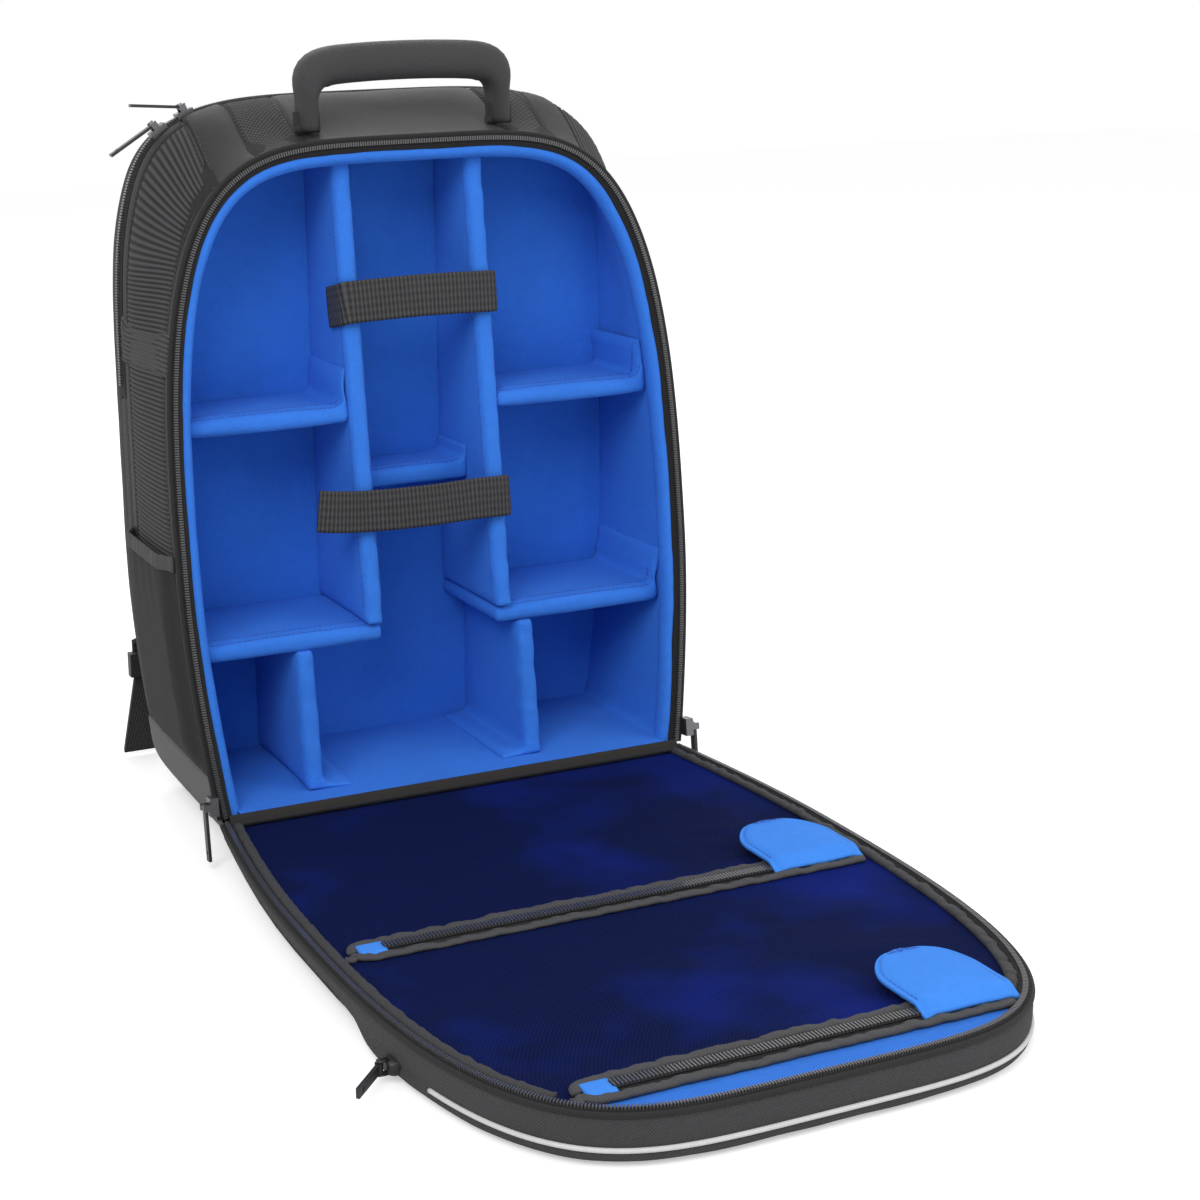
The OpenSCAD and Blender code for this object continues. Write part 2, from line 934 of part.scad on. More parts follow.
module flap_zip() {
  color(black) {
    difference() {
      flap_plate(0, flap_foot, tape_low, tape_top);
      flap_plate(tape_w, flap_foot + 9, tape_low - 1, far);
    }
    difference() {
      flap_plate(1.2, 6, tape_top, hinge_z - clearance);
      flap_plate(1.2 + teeth_w, -1, tape_top - 1, far);
    }
  }
}

module flap_hinge() {
  color(charcoal)
    translate([0, hinge_y, hinge_z]) rotate([0, 90, 0])
      cylinder(h = 2 * hinge_half - 12, r = hinge_roll_r, center = true);
  color(charcoal)
    block([6 - hinge_half, hinge_y - 7, tape_top], [hinge_half - 6, hinge_y - 1.4, tape_top + 1]);
}

mesh_zip_half = 6;
mesh_binding_w = 6;
binding_rise = 0.4;
band_half = mesh_zip_half + mesh_binding_w;

module mesh_sheet(s0, s1) {
  intersection() {
    flap_plate(flap_wall_t, flap_foot + flap_wall_t, mesh_low, mesh_top);
    flap_box(-far, far, s0, s1, 0, far);
  }
}

module mesh_pockets() {
  color("#16224f") {
    mesh_sheet(0, near_zip_s - band_half);
    mesh_sheet(near_zip_s + band_half, far_zip_s - band_half);
  }
}

module band_pair(s, inner, outer) {
  for (at = [[s - outer, s - inner], [s + inner, s + outer]])
    intersection() {
      flap_plate(flap_wall_t, flap_foot + flap_wall_t, mesh_low, mesh_top + binding_rise);
      flap_box(-far, far, at[0], at[1], 0, far);
    }
}

module end_tab(s, l) {
  intersection() {
    flap_plate(flap_wall_t, flap_foot + flap_wall_t, mesh_low, mesh_top);
    flap_box(-far, -l / 2, s - mesh_zip_half, s + mesh_zip_half, 0, far);
  }
}

module mesh_bindings() {
  color(grey) {
    band_pair(near_zip_s, mesh_zip_half, band_half);
    band_pair(far_zip_s, mesh_zip_half, band_half);
  }
  color(blue) {
    end_tab(near_zip_s, mesh_zip_l[0]);
    end_tab(far_zip_s, mesh_zip_l[1]);
  }
}

module mesh_zip(s, l) {
  intersection() {
    flap_plate(flap_wall_t, flap_foot + flap_wall_t, mesh_low, mesh_top);
    flap_box(-l / 2, far, s - mesh_zip_half, s + mesh_zip_half, 0, far);
  }
  intersection() {
    flap_plate(tape_w + clearance, flap_foot, mesh_top, mesh_top + 1);
    flap_box(-l / 2, l / 2, s - teeth_w, s + teeth_w, 0, far);
  }
}

module mesh_zips() {
  color(black) {
    mesh_zip(near_zip_s, mesh_zip_l[0]);
    mesh_zip(far_zip_s, mesh_zip_l[1]);
  }
}

mesh_slider_h = 3;
mesh_slider_inset = 16;

module mesh_slider(s, l) {
  x = l / 2 - mesh_slider_inset;
  color("silver")
    flap_box(x - slider_l / 2, x + slider_l / 2, s - slider_w / 2, s + slider_w / 2,
      mesh_top + 1, mesh_top + 1 + mesh_slider_h);
}

module near_slider() {
  mesh_slider(near_zip_s, mesh_zip_l[0]);
}

module far_slider() {
  mesh_slider(far_zip_s, mesh_zip_l[1]);
}

cover_w = 54;
cover_l = 56;
cover_t = 2;
cover_inset = tape_w + 6;
hem_t = 1.7;
hem_low = mesh_top + binding_rise + clearance;
cover_low = mesh_top + 1 + mesh_slider_h + clearance;
cover_edge_x = [150, 118];

// A cover over the end of a mesh zip, sewn along the zip's far side
module zip_cover(zip_s, edge_x) {
  round_r = cover_w / 2;
  hem_s = zip_s + mesh_zip_half;
  color(blue)
    intersection() {
      flap_plate(cover_inset, flap_foot, hem_low, cover_low + cover_t);
      union() {
        translate([edge_x - round_r, hinge_y - hem_s + cover_l - round_r, cover_low])
          cylinder(h = cover_t, r = round_r);
        flap_box(edge_x - cover_w, edge_x, hem_s - cover_l + round_r, hem_s, cover_low, cover_low + cover_t);
        flap_box(edge_x - cover_w, edge_x, hem_s - hem_t, hem_s, hem_low, cover_low + cover_t);
      }
    }
}

module near_zip_cover() {
  zip_cover(near_zip_s, cover_edge_x[0]);
}

module far_zip_cover() {
  zip_cover(far_zip_s, cover_edge_x[1]);
}

shell();
base_tub();
floor_pad();
side_panels();
side_bands();
shoulder_patches();
top_panel();
rear_gusset();
side_pockets();
pocket_bindings();
back_panel();
back_pads();
strap_wings();
ladder_locks();
sleeve_wall();
sleeve_zip();
main_zip();
zip_sliders();
base_straps();
lining();
left_upright();
right_upright();
upper_left_shelf();
lower_left_shelf();
upper_right_shelf();
lower_right_shelf();
centre_shelf();
left_post();
right_post();
upper_gear_strap();
lower_gear_strap();
handle_grip();
handle_tabs();
left_shoulder_strap();
left_strap_webbing();
right_shoulder_strap();
right_strap_webbing();
left_main_puller();
right_main_puller();
upper_sleeve_puller();
lower_sleeve_puller();
flap_gusset();
flap_board();
flap_lining();
flap_lower_panel();
flap_upper_panel();
silver_piping();
blue_piping();
flap_zip();
flap_hinge();
front_zip();
front_puller();
mesh_pockets();
mesh_bindings();
mesh_zips();
near_slider();
far_slider();
near_zip_cover();
far_zip_cover();
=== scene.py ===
import math

import bpy
import numpy as np
from mathutils import Matrix, Vector, noise
from mathutils.bvhtree import BVHTree


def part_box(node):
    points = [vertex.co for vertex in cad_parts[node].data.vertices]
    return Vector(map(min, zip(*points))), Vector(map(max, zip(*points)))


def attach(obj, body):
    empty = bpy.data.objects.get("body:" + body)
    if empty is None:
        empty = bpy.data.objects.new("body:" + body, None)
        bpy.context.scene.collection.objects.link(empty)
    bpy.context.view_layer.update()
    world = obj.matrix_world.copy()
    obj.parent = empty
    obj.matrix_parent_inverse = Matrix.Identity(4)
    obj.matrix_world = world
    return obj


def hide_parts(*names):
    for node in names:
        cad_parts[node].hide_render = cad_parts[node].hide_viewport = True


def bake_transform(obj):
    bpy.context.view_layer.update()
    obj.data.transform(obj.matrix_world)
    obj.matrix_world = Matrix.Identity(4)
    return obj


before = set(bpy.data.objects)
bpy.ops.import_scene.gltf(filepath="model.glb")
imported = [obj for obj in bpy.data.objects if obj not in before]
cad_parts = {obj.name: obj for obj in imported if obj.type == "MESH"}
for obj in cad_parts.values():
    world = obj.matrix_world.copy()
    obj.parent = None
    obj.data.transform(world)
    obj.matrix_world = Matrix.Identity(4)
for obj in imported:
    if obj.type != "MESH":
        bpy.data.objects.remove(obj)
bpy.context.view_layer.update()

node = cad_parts

# ---------------------------------------------------------------- sizes, in millimetres
# Half widths of the opening at its widest and at the hinge, its length up the slope, and its lean.
WIDE, FOOT, OPENING, LEAN = 165.0, 153.5, 388.0, math.radians(7)
# Radius of the bottom corners, how far up the slope the arch starts, and how square the arch is.
CORNER, SIDE_RISE, SQUARE_X, SQUARE_Z = 40.0, 143.0, 4.56, 2.87
HINGE_Y, HINGE_Z, BACK_Y = -75.0, 28.0, 75.0
RISE = math.cos(LEAN)
TOP_Y = HINGE_Y + OPENING * math.sin(LEAN)
# The back of the bag is SWELL higher than the opening, and squarer.
SWELL = 22
BACK_LONG, BACK_SQUARE = OPENING + SWELL / RISE, 6.5
BAY_BACK, BAY_INSET, FLOOR_Z = 34.0, 9.6, 29.9
# Where the sides end, where the rear gusset starts, and the middle of the zip between them.
SIDE_BACK, GUSSET, ZIP_Y = 43.0, 55.0, 49.0
HANDLE_Y = TOP_Y + 16
BAND_TOP, BAND_LOW, SLEEVE_END, POCKET_TOP, POCKET_LOW, TUB_TOP = 309, 284, 192, 178, 53, 50
UPPER_STRAP, LOWER_STRAP = 294, 169
RIB = 2.8


def ease(t):
    """From 0 to 1 as t does, with soft ends, and held outside."""
    t = np.clip(t, 0, 1)
    return t * t * (3 - 2 * t)


def lengths(points):
    """How far each of a line's points is from its start, along the line."""
    return np.concatenate([[0], np.cumsum(np.linalg.norm(np.diff(points, axis=0), axis=1))])


def read(at, places, points):
    """The points that lie at given places on a line of points."""
    return np.stack([np.interp(at, places, points[:, k]) for k in range(3)], 1)


def side_half(s):
    """Half the opening's width below the arch, at s up the slope."""
    return FOOT + (WIDE - FOOT) * math.sin(math.radians(90 * min(1, s / SIDE_RISE)))


CORNER_S = (CORNER - HINGE_Z) / RISE
CORNER_X = side_half(CORNER_S) - CORNER
HINGE_HALF = CORNER_X + math.sqrt(CORNER ** 2 - (CORNER - HINGE_Z) ** 2)


def upper_half(inset, long=OPENING, square=SQUARE_Z):
    """The arch and the side, from the middle of the top down to the corner, as (x, s)."""
    arch = [((WIDE - inset) * max(0, math.cos(a)) ** (2 / SQUARE_X),
             SIDE_RISE + (long - inset - SIDE_RISE) * math.sin(a) ** (2 / square))
            for a in np.linspace(math.pi / 2, 0, 90)]
    side = [(side_half(s) - inset, s) for s in np.linspace(SIDE_RISE, CORNER_S, 24)[1:]]
    return arch + side


class Outline:
    """Half an outline, by its length from the middle of the top down the +X side."""

    def __init__(self, half):
        self.p = np.array(half, float)
        step = np.hypot(*np.diff(self.p, axis=0).T)
        self.l = np.concatenate([[0], np.cumsum(step)])
        self.end = self.l[-1]
        t = np.gradient(self.p, self.l, axis=0)
        self.n = np.stack([-t[:, 1], t[:, 0]], 1)
        self.n /= np.linalg.norm(self.n, axis=1)[:, None] + 1e-9
        self.n[0] = (0, 1)

    def at(self, l, out=0.0):
        side, a = np.sign(l), np.abs(l)
        pick = lambda v: np.interp(a, self.l, v)
        return (side * (pick(self.p[:, 0]) + pick(self.n[:, 0]) * out),
                pick(self.p[:, 1]) + pick(self.n[:, 1]) * out)

    def down_to(self, z):
        return float(np.interp(-z, -self.p[:, 1], self.l))


def body_half(inset, floor=0.0, long=OPENING, square=SQUARE_Z):
    """Half the outline, as (x, z), with round bottom corners or with a flat floor."""
    half = [(x, HINGE_Z + s * RISE) for x, s in upper_half(inset, long, square)]
    if floor:
        half = [p for p in half if p[1] > floor + 0.5] + [(side_half(0) - inset, floor)]
        return half + [(x, floor) for x in np.linspace(side_half(0) - inset, 0, 20)[1:]]
    half += [(CORNER_X + (CORNER - inset) * math.cos(a), CORNER + (CORNER - inset) * math.sin(a))
             for a in np.linspace(0, -math.pi / 2, 16)[1:]]
    return half + [(x, inset) for x in np.linspace(CORNER_X, 0, 20)[1:]]


class Form:
    """The bag's outline, which swells from the opening to the back."""

    def __init__(self, inset, floor=0.0):
        self.front = Outline(body_half(inset, floor))
        self.back = Outline(body_half(inset, floor, BACK_LONG, BACK_SQUARE))
        self.back.l = self.front.l
        self.end, self.down_to = self.front.end, self.front.down_to

    def at(self, l, y, out=0.0):
        t = ease((y - TOP_Y - 3) / (SIDE_BACK - TOP_Y - 6))
        (x0, z0), (x1, z1) = self.front.at(l, out), self.back.at(l, out)
        return np.stack(np.broadcast_arrays(x0 + (x1 - x0) * t, y, z0 + (z1 - z0) * t), -1).astype(float)


BODY, BAY = Form(0), Form(BAY_INSET, FLOOR_Z)
RIM = Outline(upper_half(0) + [(HINGE_HALF, 0)])


def front_y(z, depth=3.5):
    """The leaning front, depth behind the plane of the opening."""
    return HINGE_Y + depth / RISE + np.maximum(0, z - HINGE_Z) * math.tan(LEAN)


def body_at(l, y, out=0.0):
    """A point on the skin. The upper back stands a little prouder."""
    high = BODY.front.at(l)[1]
    return BODY.at(l, y, out + 2.5 * ease((y + 15) / 40) * ease((high - 300) / 90))


def rim_at(l, depth, out=0.0):
    """A point by the rim of the opening: at l round it, depth behind it and out from it."""
    x, s = RIM.at(l, out)
    return np.stack([x, HINGE_Y + s * math.sin(LEAN) + depth * RISE + 0 * x,
                     HINGE_Z + s * RISE - depth * math.sin(LEAN)], -1)


def rim_point(x, s, depth):
    """A point by the opening: at x, s up its slope and depth behind it."""
    return np.stack(np.broadcast_arrays(x, HINGE_Y + s * math.sin(LEAN) + depth * RISE,
                                        HINGE_Z + s * RISE - depth * math.sin(LEAN)), -1).astype(float)


def flap_at(l, z, out=0.0):
    """A point by the rim of the open flap, z above the floor."""
    x, s = RIM.at(l, out)
    return np.stack([x, HINGE_Y - s, z + 0 * x], -1)


def rough(p, scale, seed=0.0):
    """Soft noise at points in millimetres, from -1 to 1."""
    q = np.asarray(p, float).reshape(-1, 3) / scale + seed
    return np.array([noise.noise(Vector(v)) for v in q]).reshape(np.shape(p)[:-1])


# ---------------------------------------------------------------- finishes
class Value:
    """A socket that sums can be written with."""

    def __init__(self, cloth, socket):
        self.cloth, self.socket = cloth, socket

    def math(self, operation, *others):
        return self.cloth.node("ShaderNodeMath", {"operation": operation},
                               dict(enumerate((self,) + others)))

    def __add__(self, other):
        return self.math("ADD", other)

    def __mul__(self, other):
        return self.math("MULTIPLY", other)

    def __sub__(self, other):
        return self.math("SUBTRACT", other)

    def __rsub__(self, other):
        return self * -1 + other

    def wave(self, pitch):
        """0 to 1 and back over each pitch, in metres."""
        return (self * (2 * math.pi / pitch)).math("SINE") * 0.5 + 0.5


class Cloth:
    """One finish, with its nodes. In place of a new material it can fill a world."""

    def __init__(self, name, slot, world=None):
        self.slot = slot
        self.material = world or bpy.data.materials.new(name)
        self.material.use_nodes = True
        self.tree = self.material.node_tree
        self.tree.nodes.clear()

    def node(self, kind, settings=None, inputs=None, out=0):
        made = self.tree.nodes.new(kind)
        for name, value in (settings or {}).items():
            if name == "stops":
                for stop, (at, grey) in zip(made.color_ramp.elements, value):
                    stop.position, stop.color = at, (grey, grey, grey, 1)
            else:
                setattr(made, name, value)
        for name, value in (inputs or {}).items():
            if isinstance(value, Value):
                self.tree.links.new(value.socket, made.inputs[name])
            else:
                made.inputs[name].default_value = value
        return Value(self, made.outputs[out]) if made.outputs else None

    def place(self, solid=False):
        """The place on the cloth in metres: along, across."""
        where = self.node("ShaderNodeTexCoord", out=3 if solid else 2)
        x, y, z = (self.node("ShaderNodeSeparateXYZ", inputs={0: where}, out=k) for k in range(3))
        return (x + y, z + y * 0.3) if solid else (x, y)

    def speckle(self, size, detail=2.0, spread=0.5):
        solid = self.node("ShaderNodeTexCoord", out=3)
        return self.node("ShaderNodeTexNoise", inputs={"Vector": solid, "Scale": 1 / size, "Detail": detail,
                                                       "Roughness": spread})

    def mix(self, share, a, b):
        return self.node("ShaderNodeMix", {"data_type": "RGBA"}, {0: share, 6: a, 7: b}, out=2)

    def finish(self, color, rough, height=None, depth=0.0005, **rest):
        inputs = {"Base Color": color, "Roughness": rough}
        inputs.update({name.replace("_", " "): value for name, value in rest.items()})
        if height is not None:
            inputs["Normal"] = self.node("ShaderNodeBump", inputs={"Strength": 1.0, "Distance": depth,
                                                                   "Height": height})
        shader = self.node("ShaderNodeBsdfPrincipled", inputs=inputs)
        self.node("ShaderNodeOutputMaterial", inputs={0: shader})
        return self


def grey(level, blue=1.06):
    """A grey with a little more or less blue in it."""
    return (level, level, level * blue, 1)


def scaled(color, share):
    """A colour made lighter or darker."""
    return tuple(min(1, c * share) for c in color[:3]) + (1,)


def woven(name, slot, color, pitch, weave="plain", depth=0.0003, rough=0.85, solid=False, shift=0.35,
          sheen=0.03, crease=0.0, patches=None, shine=0.3, bold=0.55):
    """A woven cloth: the threads make the bump and the light and dark of the colour."""
    cloth = Cloth(name, slot)
    along, across = cloth.place(solid)
    if weave == "plain":
        threads = along.wave(pitch) * across.wave(pitch) + (1 - along.wave(pitch)) * (1 - across.wave(pitch))
    elif weave == "rib":
        threads = across.wave(pitch) * 0.8 + along.wave(pitch * 0.35) * 0.2
    elif weave == "course":
        threads = along.wave(pitch) * 0.8 + (along * 0.5 + across).wave(pitch * 0.6) * 0.2
    elif weave == "cord":
        threads = along.wave(pitch) * 0.75 + across.wave(pitch * 1.7) * 0.25
    else:
        threads = (along + across).wave(pitch) * 0.5 + (along - across).wave(pitch) * 0.5
    fuzz = cloth.speckle(0.0016, 3)
    clouds = cloth.speckle(0.05, 2)
    dark, light = scaled(color, 1 - shift), scaled(color, 1 + shift)
    shade = cloth.mix(threads * bold + fuzz * (0.6 - 0.6 * bold) + clouds * (0.4 - 0.4 * bold), dark, light)
    if patches:
        size, low, high, tint = patches
        spots = cloth.node("ShaderNodeMapRange", {"clamp": True},
                           {0: cloth.speckle(size, 3, 0.55), 1: low, 2: high})
        shade = cloth.mix(spots, shade, tint)
    height = threads + fuzz * 0.5
    if crease:
        height = height * 0.5 + cloth.speckle(0.02, 4) * crease
        depth = depth * 2
    return cloth.finish(shade, rough, height, depth, Sheen_Weight=sheen, Sheen_Roughness=0.5,
                        Specular_IOR_Level=shine)


def felt(name, slot, color, shift=0.18):
    """Brushed cloth, with nap, pills and soft patches."""
    cloth = Cloth(name, slot)
    nap, pill, patches = cloth.speckle(0.0012, 4, 0.7), cloth.speckle(0.006, 3), cloth.speckle(0.045, 2)
    dark, light = scaled(color, 1 - shift), scaled(color, 1 + shift)
    share = nap * 0.45 + pill * 0.25 + patches * 0.3
    return cloth.finish(cloth.mix(share, dark, light), 0.95, nap + pill * 0.8, 0.0006,
                        Sheen_Weight=0.1, Sheen_Roughness=0.4, Sheen_Tint=(0.25, 0.55, 1, 1),
                        Specular_IOR_Level=0.2)


def plain(name, slot, color, rough, metallic=0.0, size=0.002, coat=0.0):
    """Metal, plastic or thread, with a fine grain."""
    cloth = Cloth(name, slot)
    grain = cloth.speckle(size, 3)
    return cloth.finish(cloth.mix(grain, scaled(color, 0.8), color), grain * 0.2 + (rough - 0.1), grain,
                        0.0001, Metallic=metallic, Coat_Weight=coat)


OXFORD = woven("charcoal oxford cloth", "charcoal_cloth", grey(0.046), 0.0016, depth=0.0005, shift=0.6)
OXFORD_SOLID = woven("charcoal oxford cloth solid", "charcoal_cloth", grey(0.012), 0.0011, solid=True)
RIBBED = woven("ribbed side cloth", "black_cloth", grey(0.036), RIB / 1000, "course", 0.0005,
               shift=0.95, bold=0.85)
COARSE = woven("coarse woven cloth", "charcoal_cloth", grey(0.040), 0.0030, "twill", 0.0009,
               shift=0.95, bold=0.8)
SMOOTH = woven("smooth face cloth", "coated_cloth", grey(0.044), 0.0012, "twill", 0.0002, 0.65, shift=0.45)
SMOOTH_DARK = woven("smooth edge cloth", "coated_cloth", grey(0.019), 0.0010, "twill", 0.0002, 0.6)
COATED = woven("coated base cloth", "coated_cloth", grey(0.078), 0.0014, "plain", 0.0002, 0.6, crease=0.6)
STRETCH = woven("stretch pocket cloth", "black_cloth", grey(0.014), 0.0013, "twill", 0.0003)
BINDING = woven("bias binding", "coated_cloth", grey(0.052), 0.0015, rough=0.65, crease=0.7)
DARK_BINDING = woven("dark bias binding", "coated_cloth", grey(0.036), 0.0015, rough=0.7, crease=0.5)
HINGE_CLOTH = woven("hinge binding", "charcoal_cloth", (0.022, 0.019, 0.017, 1), 0.0013, crease=0.5)
BLACK_BINDING = woven("black bias binding", "black_cloth", grey(0.014), 0.0015, rough=0.75, crease=0.5)
TAPE_CLOTH = woven("zip tape", "black_cloth", grey(0.010), 0.0013, "rib", 0.0003)
STRAP = woven("ribbed webbing", "webbing", grey(0.031), 0.0026, "cord", 0.0009, 0.65, shift=0.95, bold=0.85)
GRIP_SOLID = woven("grip cloth solid", "grip_cloth", grey(0.030), 0.0014, rough=0.65, solid=True)
STRAP_SOLID = woven("ribbed webbing solid", "webbing", grey(0.020), 0.0021, "cord", 0.0006, 0.7, solid=True,
                    shift=0.6)
AIR_MESH = woven("air mesh", "charcoal_cloth", grey(0.020), 0.0042, "twill", 0.0009, solid=True, shift=0.6)
GRIP = woven("grip sleeve", "grip_cloth", grey(0.036), 0.0014, rough=0.62, shift=0.5)
NAVY = woven("navy mesh", "navy_mesh", (0.0028, 0.0070, 0.048, 1), 0.0024, "twill", 0.0002, 0.85,
             shift=0.75, sheen=0.0, patches=(0.11, 0.5, 0.78, (0.004, 0.014, 0.16, 1)), shine=0.06, bold=0.7)
# Blue brushed felt in two copies: this one is darker, as painted shade of the deep bay, and is used for the
# bay, its dividers, the opening roll and the flap lining.
SHADED_FELT = felt("blue brushed lining with painted shade", "blue_felt", (0.032, 0.170, 0.66, 1), 0.28)
# The lighter copy of the same felt: painted light on the zip covers and tabs, which face up.
LIT_FELT = felt("blue cover cloth with painted light", "blue_felt", (0.050, 0.245, 0.80, 1), 0.22)
# Zip teeth: a black coil, with its colour lifted to grey as painted glints along the teeth.
GLINT_TEETH = plain("zip teeth with painted glints", "zip_teeth", grey(0.09), 0.32, 0.3, coat=0.5)
PULLER = plain("dark puller metal", "slider_metal", grey(0.045), 0.3, 0.5, 0.0006)
METAL = plain("slider metal", "slider_metal", grey(0.2), 0.3, 0.9, 0.0006)
PLASTIC = plain("buckle plastic", "buckle_plastic", grey(0.015), 0.5)
SILVER = plain("silver piping", "silver_cord", grey(0.6, 1.0), 0.45)
BLUE_CORD = plain("blue piping", "blue_cord", (0.05, 0.36, 0.72, 1), 0.4)
THREAD = plain("thread", "charcoal_cloth", grey(0.05), 0.7)
BLUE_THREAD = plain("blue thread", "blue_felt", (0.03, 0.12, 0.5, 1), 0.7)


# ---------------------------------------------------------------- making pieces
def settle(obj, cloth, body, replaces=()):
    """Gives a made piece its finish, its body and the solids that it stands for."""
    if not obj.data.materials:
        obj.data.materials.append(cloth.material)
    if body:
        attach(obj, body)
    if replaces:
        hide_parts(*replaces)
    return obj


def mesh_of(name, verts, faces, places=None, smooth=True):
    """A new object from points in millimetres."""
    mesh = bpy.data.meshes.new(name)
    mesh.from_pydata((np.asarray(verts) / 1000).tolist(), [], faces)
    if places is not None:
        layer = mesh.uv_layers.new(name="cloth")
        loops = np.zeros(len(mesh.loops), int)
        mesh.loops.foreach_get("vertex_index", loops)
        layer.data.foreach_set("uv", (np.asarray(places)[loops] / 1000).ravel().astype(float))
    mesh.polygons.foreach_set("use_smooth", [smooth] * len(mesh.polygons))
    mesh.update()
    obj = bpy.data.objects.new(name.replace(" ", "_"), mesh)
    bpy.context.scene.collection.objects.link(obj)
    return obj


def surface(name, grids, cloth, body="body", replaces=(), thick=0.0, closed=False, laid=None):
    """One piece from grids of points, each rows x columns x 3, with its own lengths as its cloth's place."""
    verts, faces, places, start = [], [], [], 0
    for g in grids:
        rows, cols = g.shape[:2]
        along = lengths(g[:, cols // 2]) if laid is None else laid
        a, c = np.meshgrid(along, lengths(g[rows // 2]), indexing="ij")
        verts.append(g.reshape(-1, 3))
        places.append(np.stack([a, c], -1).reshape(-1, 2))
        i, j = np.meshgrid(np.arange(rows - 1), np.arange(cols - 1), indexing="ij")
        q = (start + i * cols + j).ravel()
        faces += np.stack([q, q + 1, q + cols + 1, q + cols], 1).tolist()
        if closed:
            for row in (0, rows - 1):
                ring = [start + row * cols + k for k in range(cols - 1)]
                faces.append(ring if row else ring[::-1])
        start += rows * cols
    obj = mesh_of(name, np.vstack(verts), faces, np.vstack(places))
    if thick:
        skin = obj.modifiers.new("thickness", "SOLIDIFY")
        skin.thickness, skin.offset = thick / 1000, 0
    return settle(obj, cloth, body, replaces)


def sweep(points, side, wide, tall, sides=12, power=2.0):
    """A closed strip or tube along points. side is across it; wide and tall are its half sizes."""
    p = np.asarray(points, float)
    n = len(p)
    t = np.gradient(p, axis=0)
    t /= np.linalg.norm(t, axis=1)[:, None] + 1e-9
    side = np.broadcast_to(np.asarray(side, float), (n, 3))
    side = side - (side * t).sum(1)[:, None] * t
    side = side / (np.linalg.norm(side, axis=1)[:, None] + 1e-9)
    up = np.cross(t, side)
    a = np.linspace(0, 2 * math.pi, sides + 1)
    c, s = np.cos(a), np.sin(a)
    c, s = np.sign(c) * np.abs(c) ** (2 / power), np.sign(s) * np.abs(s) ** (2 / power)
    wide, tall = np.broadcast_to(wide, (n,)), np.broadcast_to(tall, (n,))
    return (p[:, None] + side[:, None] * (wide[:, None] * c)[..., None]
            + up[:, None] * (tall[:, None] * s)[..., None])


def along(points, pitch):
    """Evenly spaced places on a line of points, and its direction there."""
    p = np.asarray(points, float)
    l = lengths(p)
    at = np.arange(pitch / 2, l[-1], pitch)
    d = read(at + pitch / 4, l, p) - read(at - pitch / 4, l, p)
    return read(at, l, p), d / (np.linalg.norm(d, axis=1)[:, None] + 1e-9), at / l[-1]


def bits(name, lines, cloth, pitch, size, body="body"):
    """Rows of small blocks along lines: zip teeth or stitches. Each line is (points, up at its points)."""
    verts, faces = [], []
    corners = np.array([(x, y, z) for z in (-1, 1) for y in (-1, 1) for x in (-1, 1)], float)
    for points, up in lines:
        q, d, t = along(points, pitch)
        up = np.broadcast_to(np.asarray(up, float), np.shape(points))
        u = read(t, np.linspace(0, 1, len(up)), up)
        u -= (u * d).sum(1)[:, None] * d
        u /= np.linalg.norm(u, axis=1)[:, None]
        w = np.cross(d, u)
        block = corners * np.array(size) / 2
        v = (q[:, None] + d[:, None] * block[None, :, :1] + w[:, None] * block[None, :, 1:2]
             + u[:, None] * block[None, :, 2:])
        start = sum(len(x) for x in verts)
        verts.append(v.reshape(-1, 3))
        for i in range(len(q)):
            b = start + 8 * i
            faces += [[b, b + 2, b + 3, b + 1], [b + 4, b + 5, b + 7, b + 6], [b, b + 1, b + 5, b + 4],
                      [b + 2, b + 6, b + 7, b + 3], [b, b + 4, b + 6, b + 2], [b + 1, b + 3, b + 7, b + 5]]
    return settle(mesh_of(name, np.vstack(verts), faces, smooth=False), cloth, body)


def spaced(length, pitch=4.0):
    """Places from 0 to length, close together at both ends, where the cloth tucks into its seams."""
    ends = np.array([0, 0.5, 1.1, 1.8, 2.8, 4.2, 6.2])
    if length < 20:
        return np.linspace(0, length, 14)
    middle = np.linspace(8.5, length - 8.5, max(3, int((length - 17) / pitch)))
    return np.concatenate([ends, middle, length - ends[::-1]])


def quilt(u, v, lu, lv, puff, tuck=1.4, soft=9.0):
    """The height of a sewn panel over its seams: up in the middle, tucked in at the edges."""
    edge = np.minimum(np.minimum(u, lu - u)[:, None], np.minimum(v, lv - v)[None])
    return puff * (1 - np.exp(-edge / soft)) - tuck * np.exp(-(edge / 1.1) ** 2)


def evened(l, y):
    """Places round the outline that keep their front edge's height at every depth, from the shoulder down."""
    side, low = np.sign(l), np.abs(l)
    high = BODY.front.at(low)[1]
    near, far = low, low + 80
    for _ in range(14):
        middle = (near + far) / 2
        over = body_at(middle, y)[..., 2] > high
        near, far = np.where(over, middle, near), np.where(over, far, middle)
    return side * (low + (near - low) * ease((low - L_PATCH) / 60))


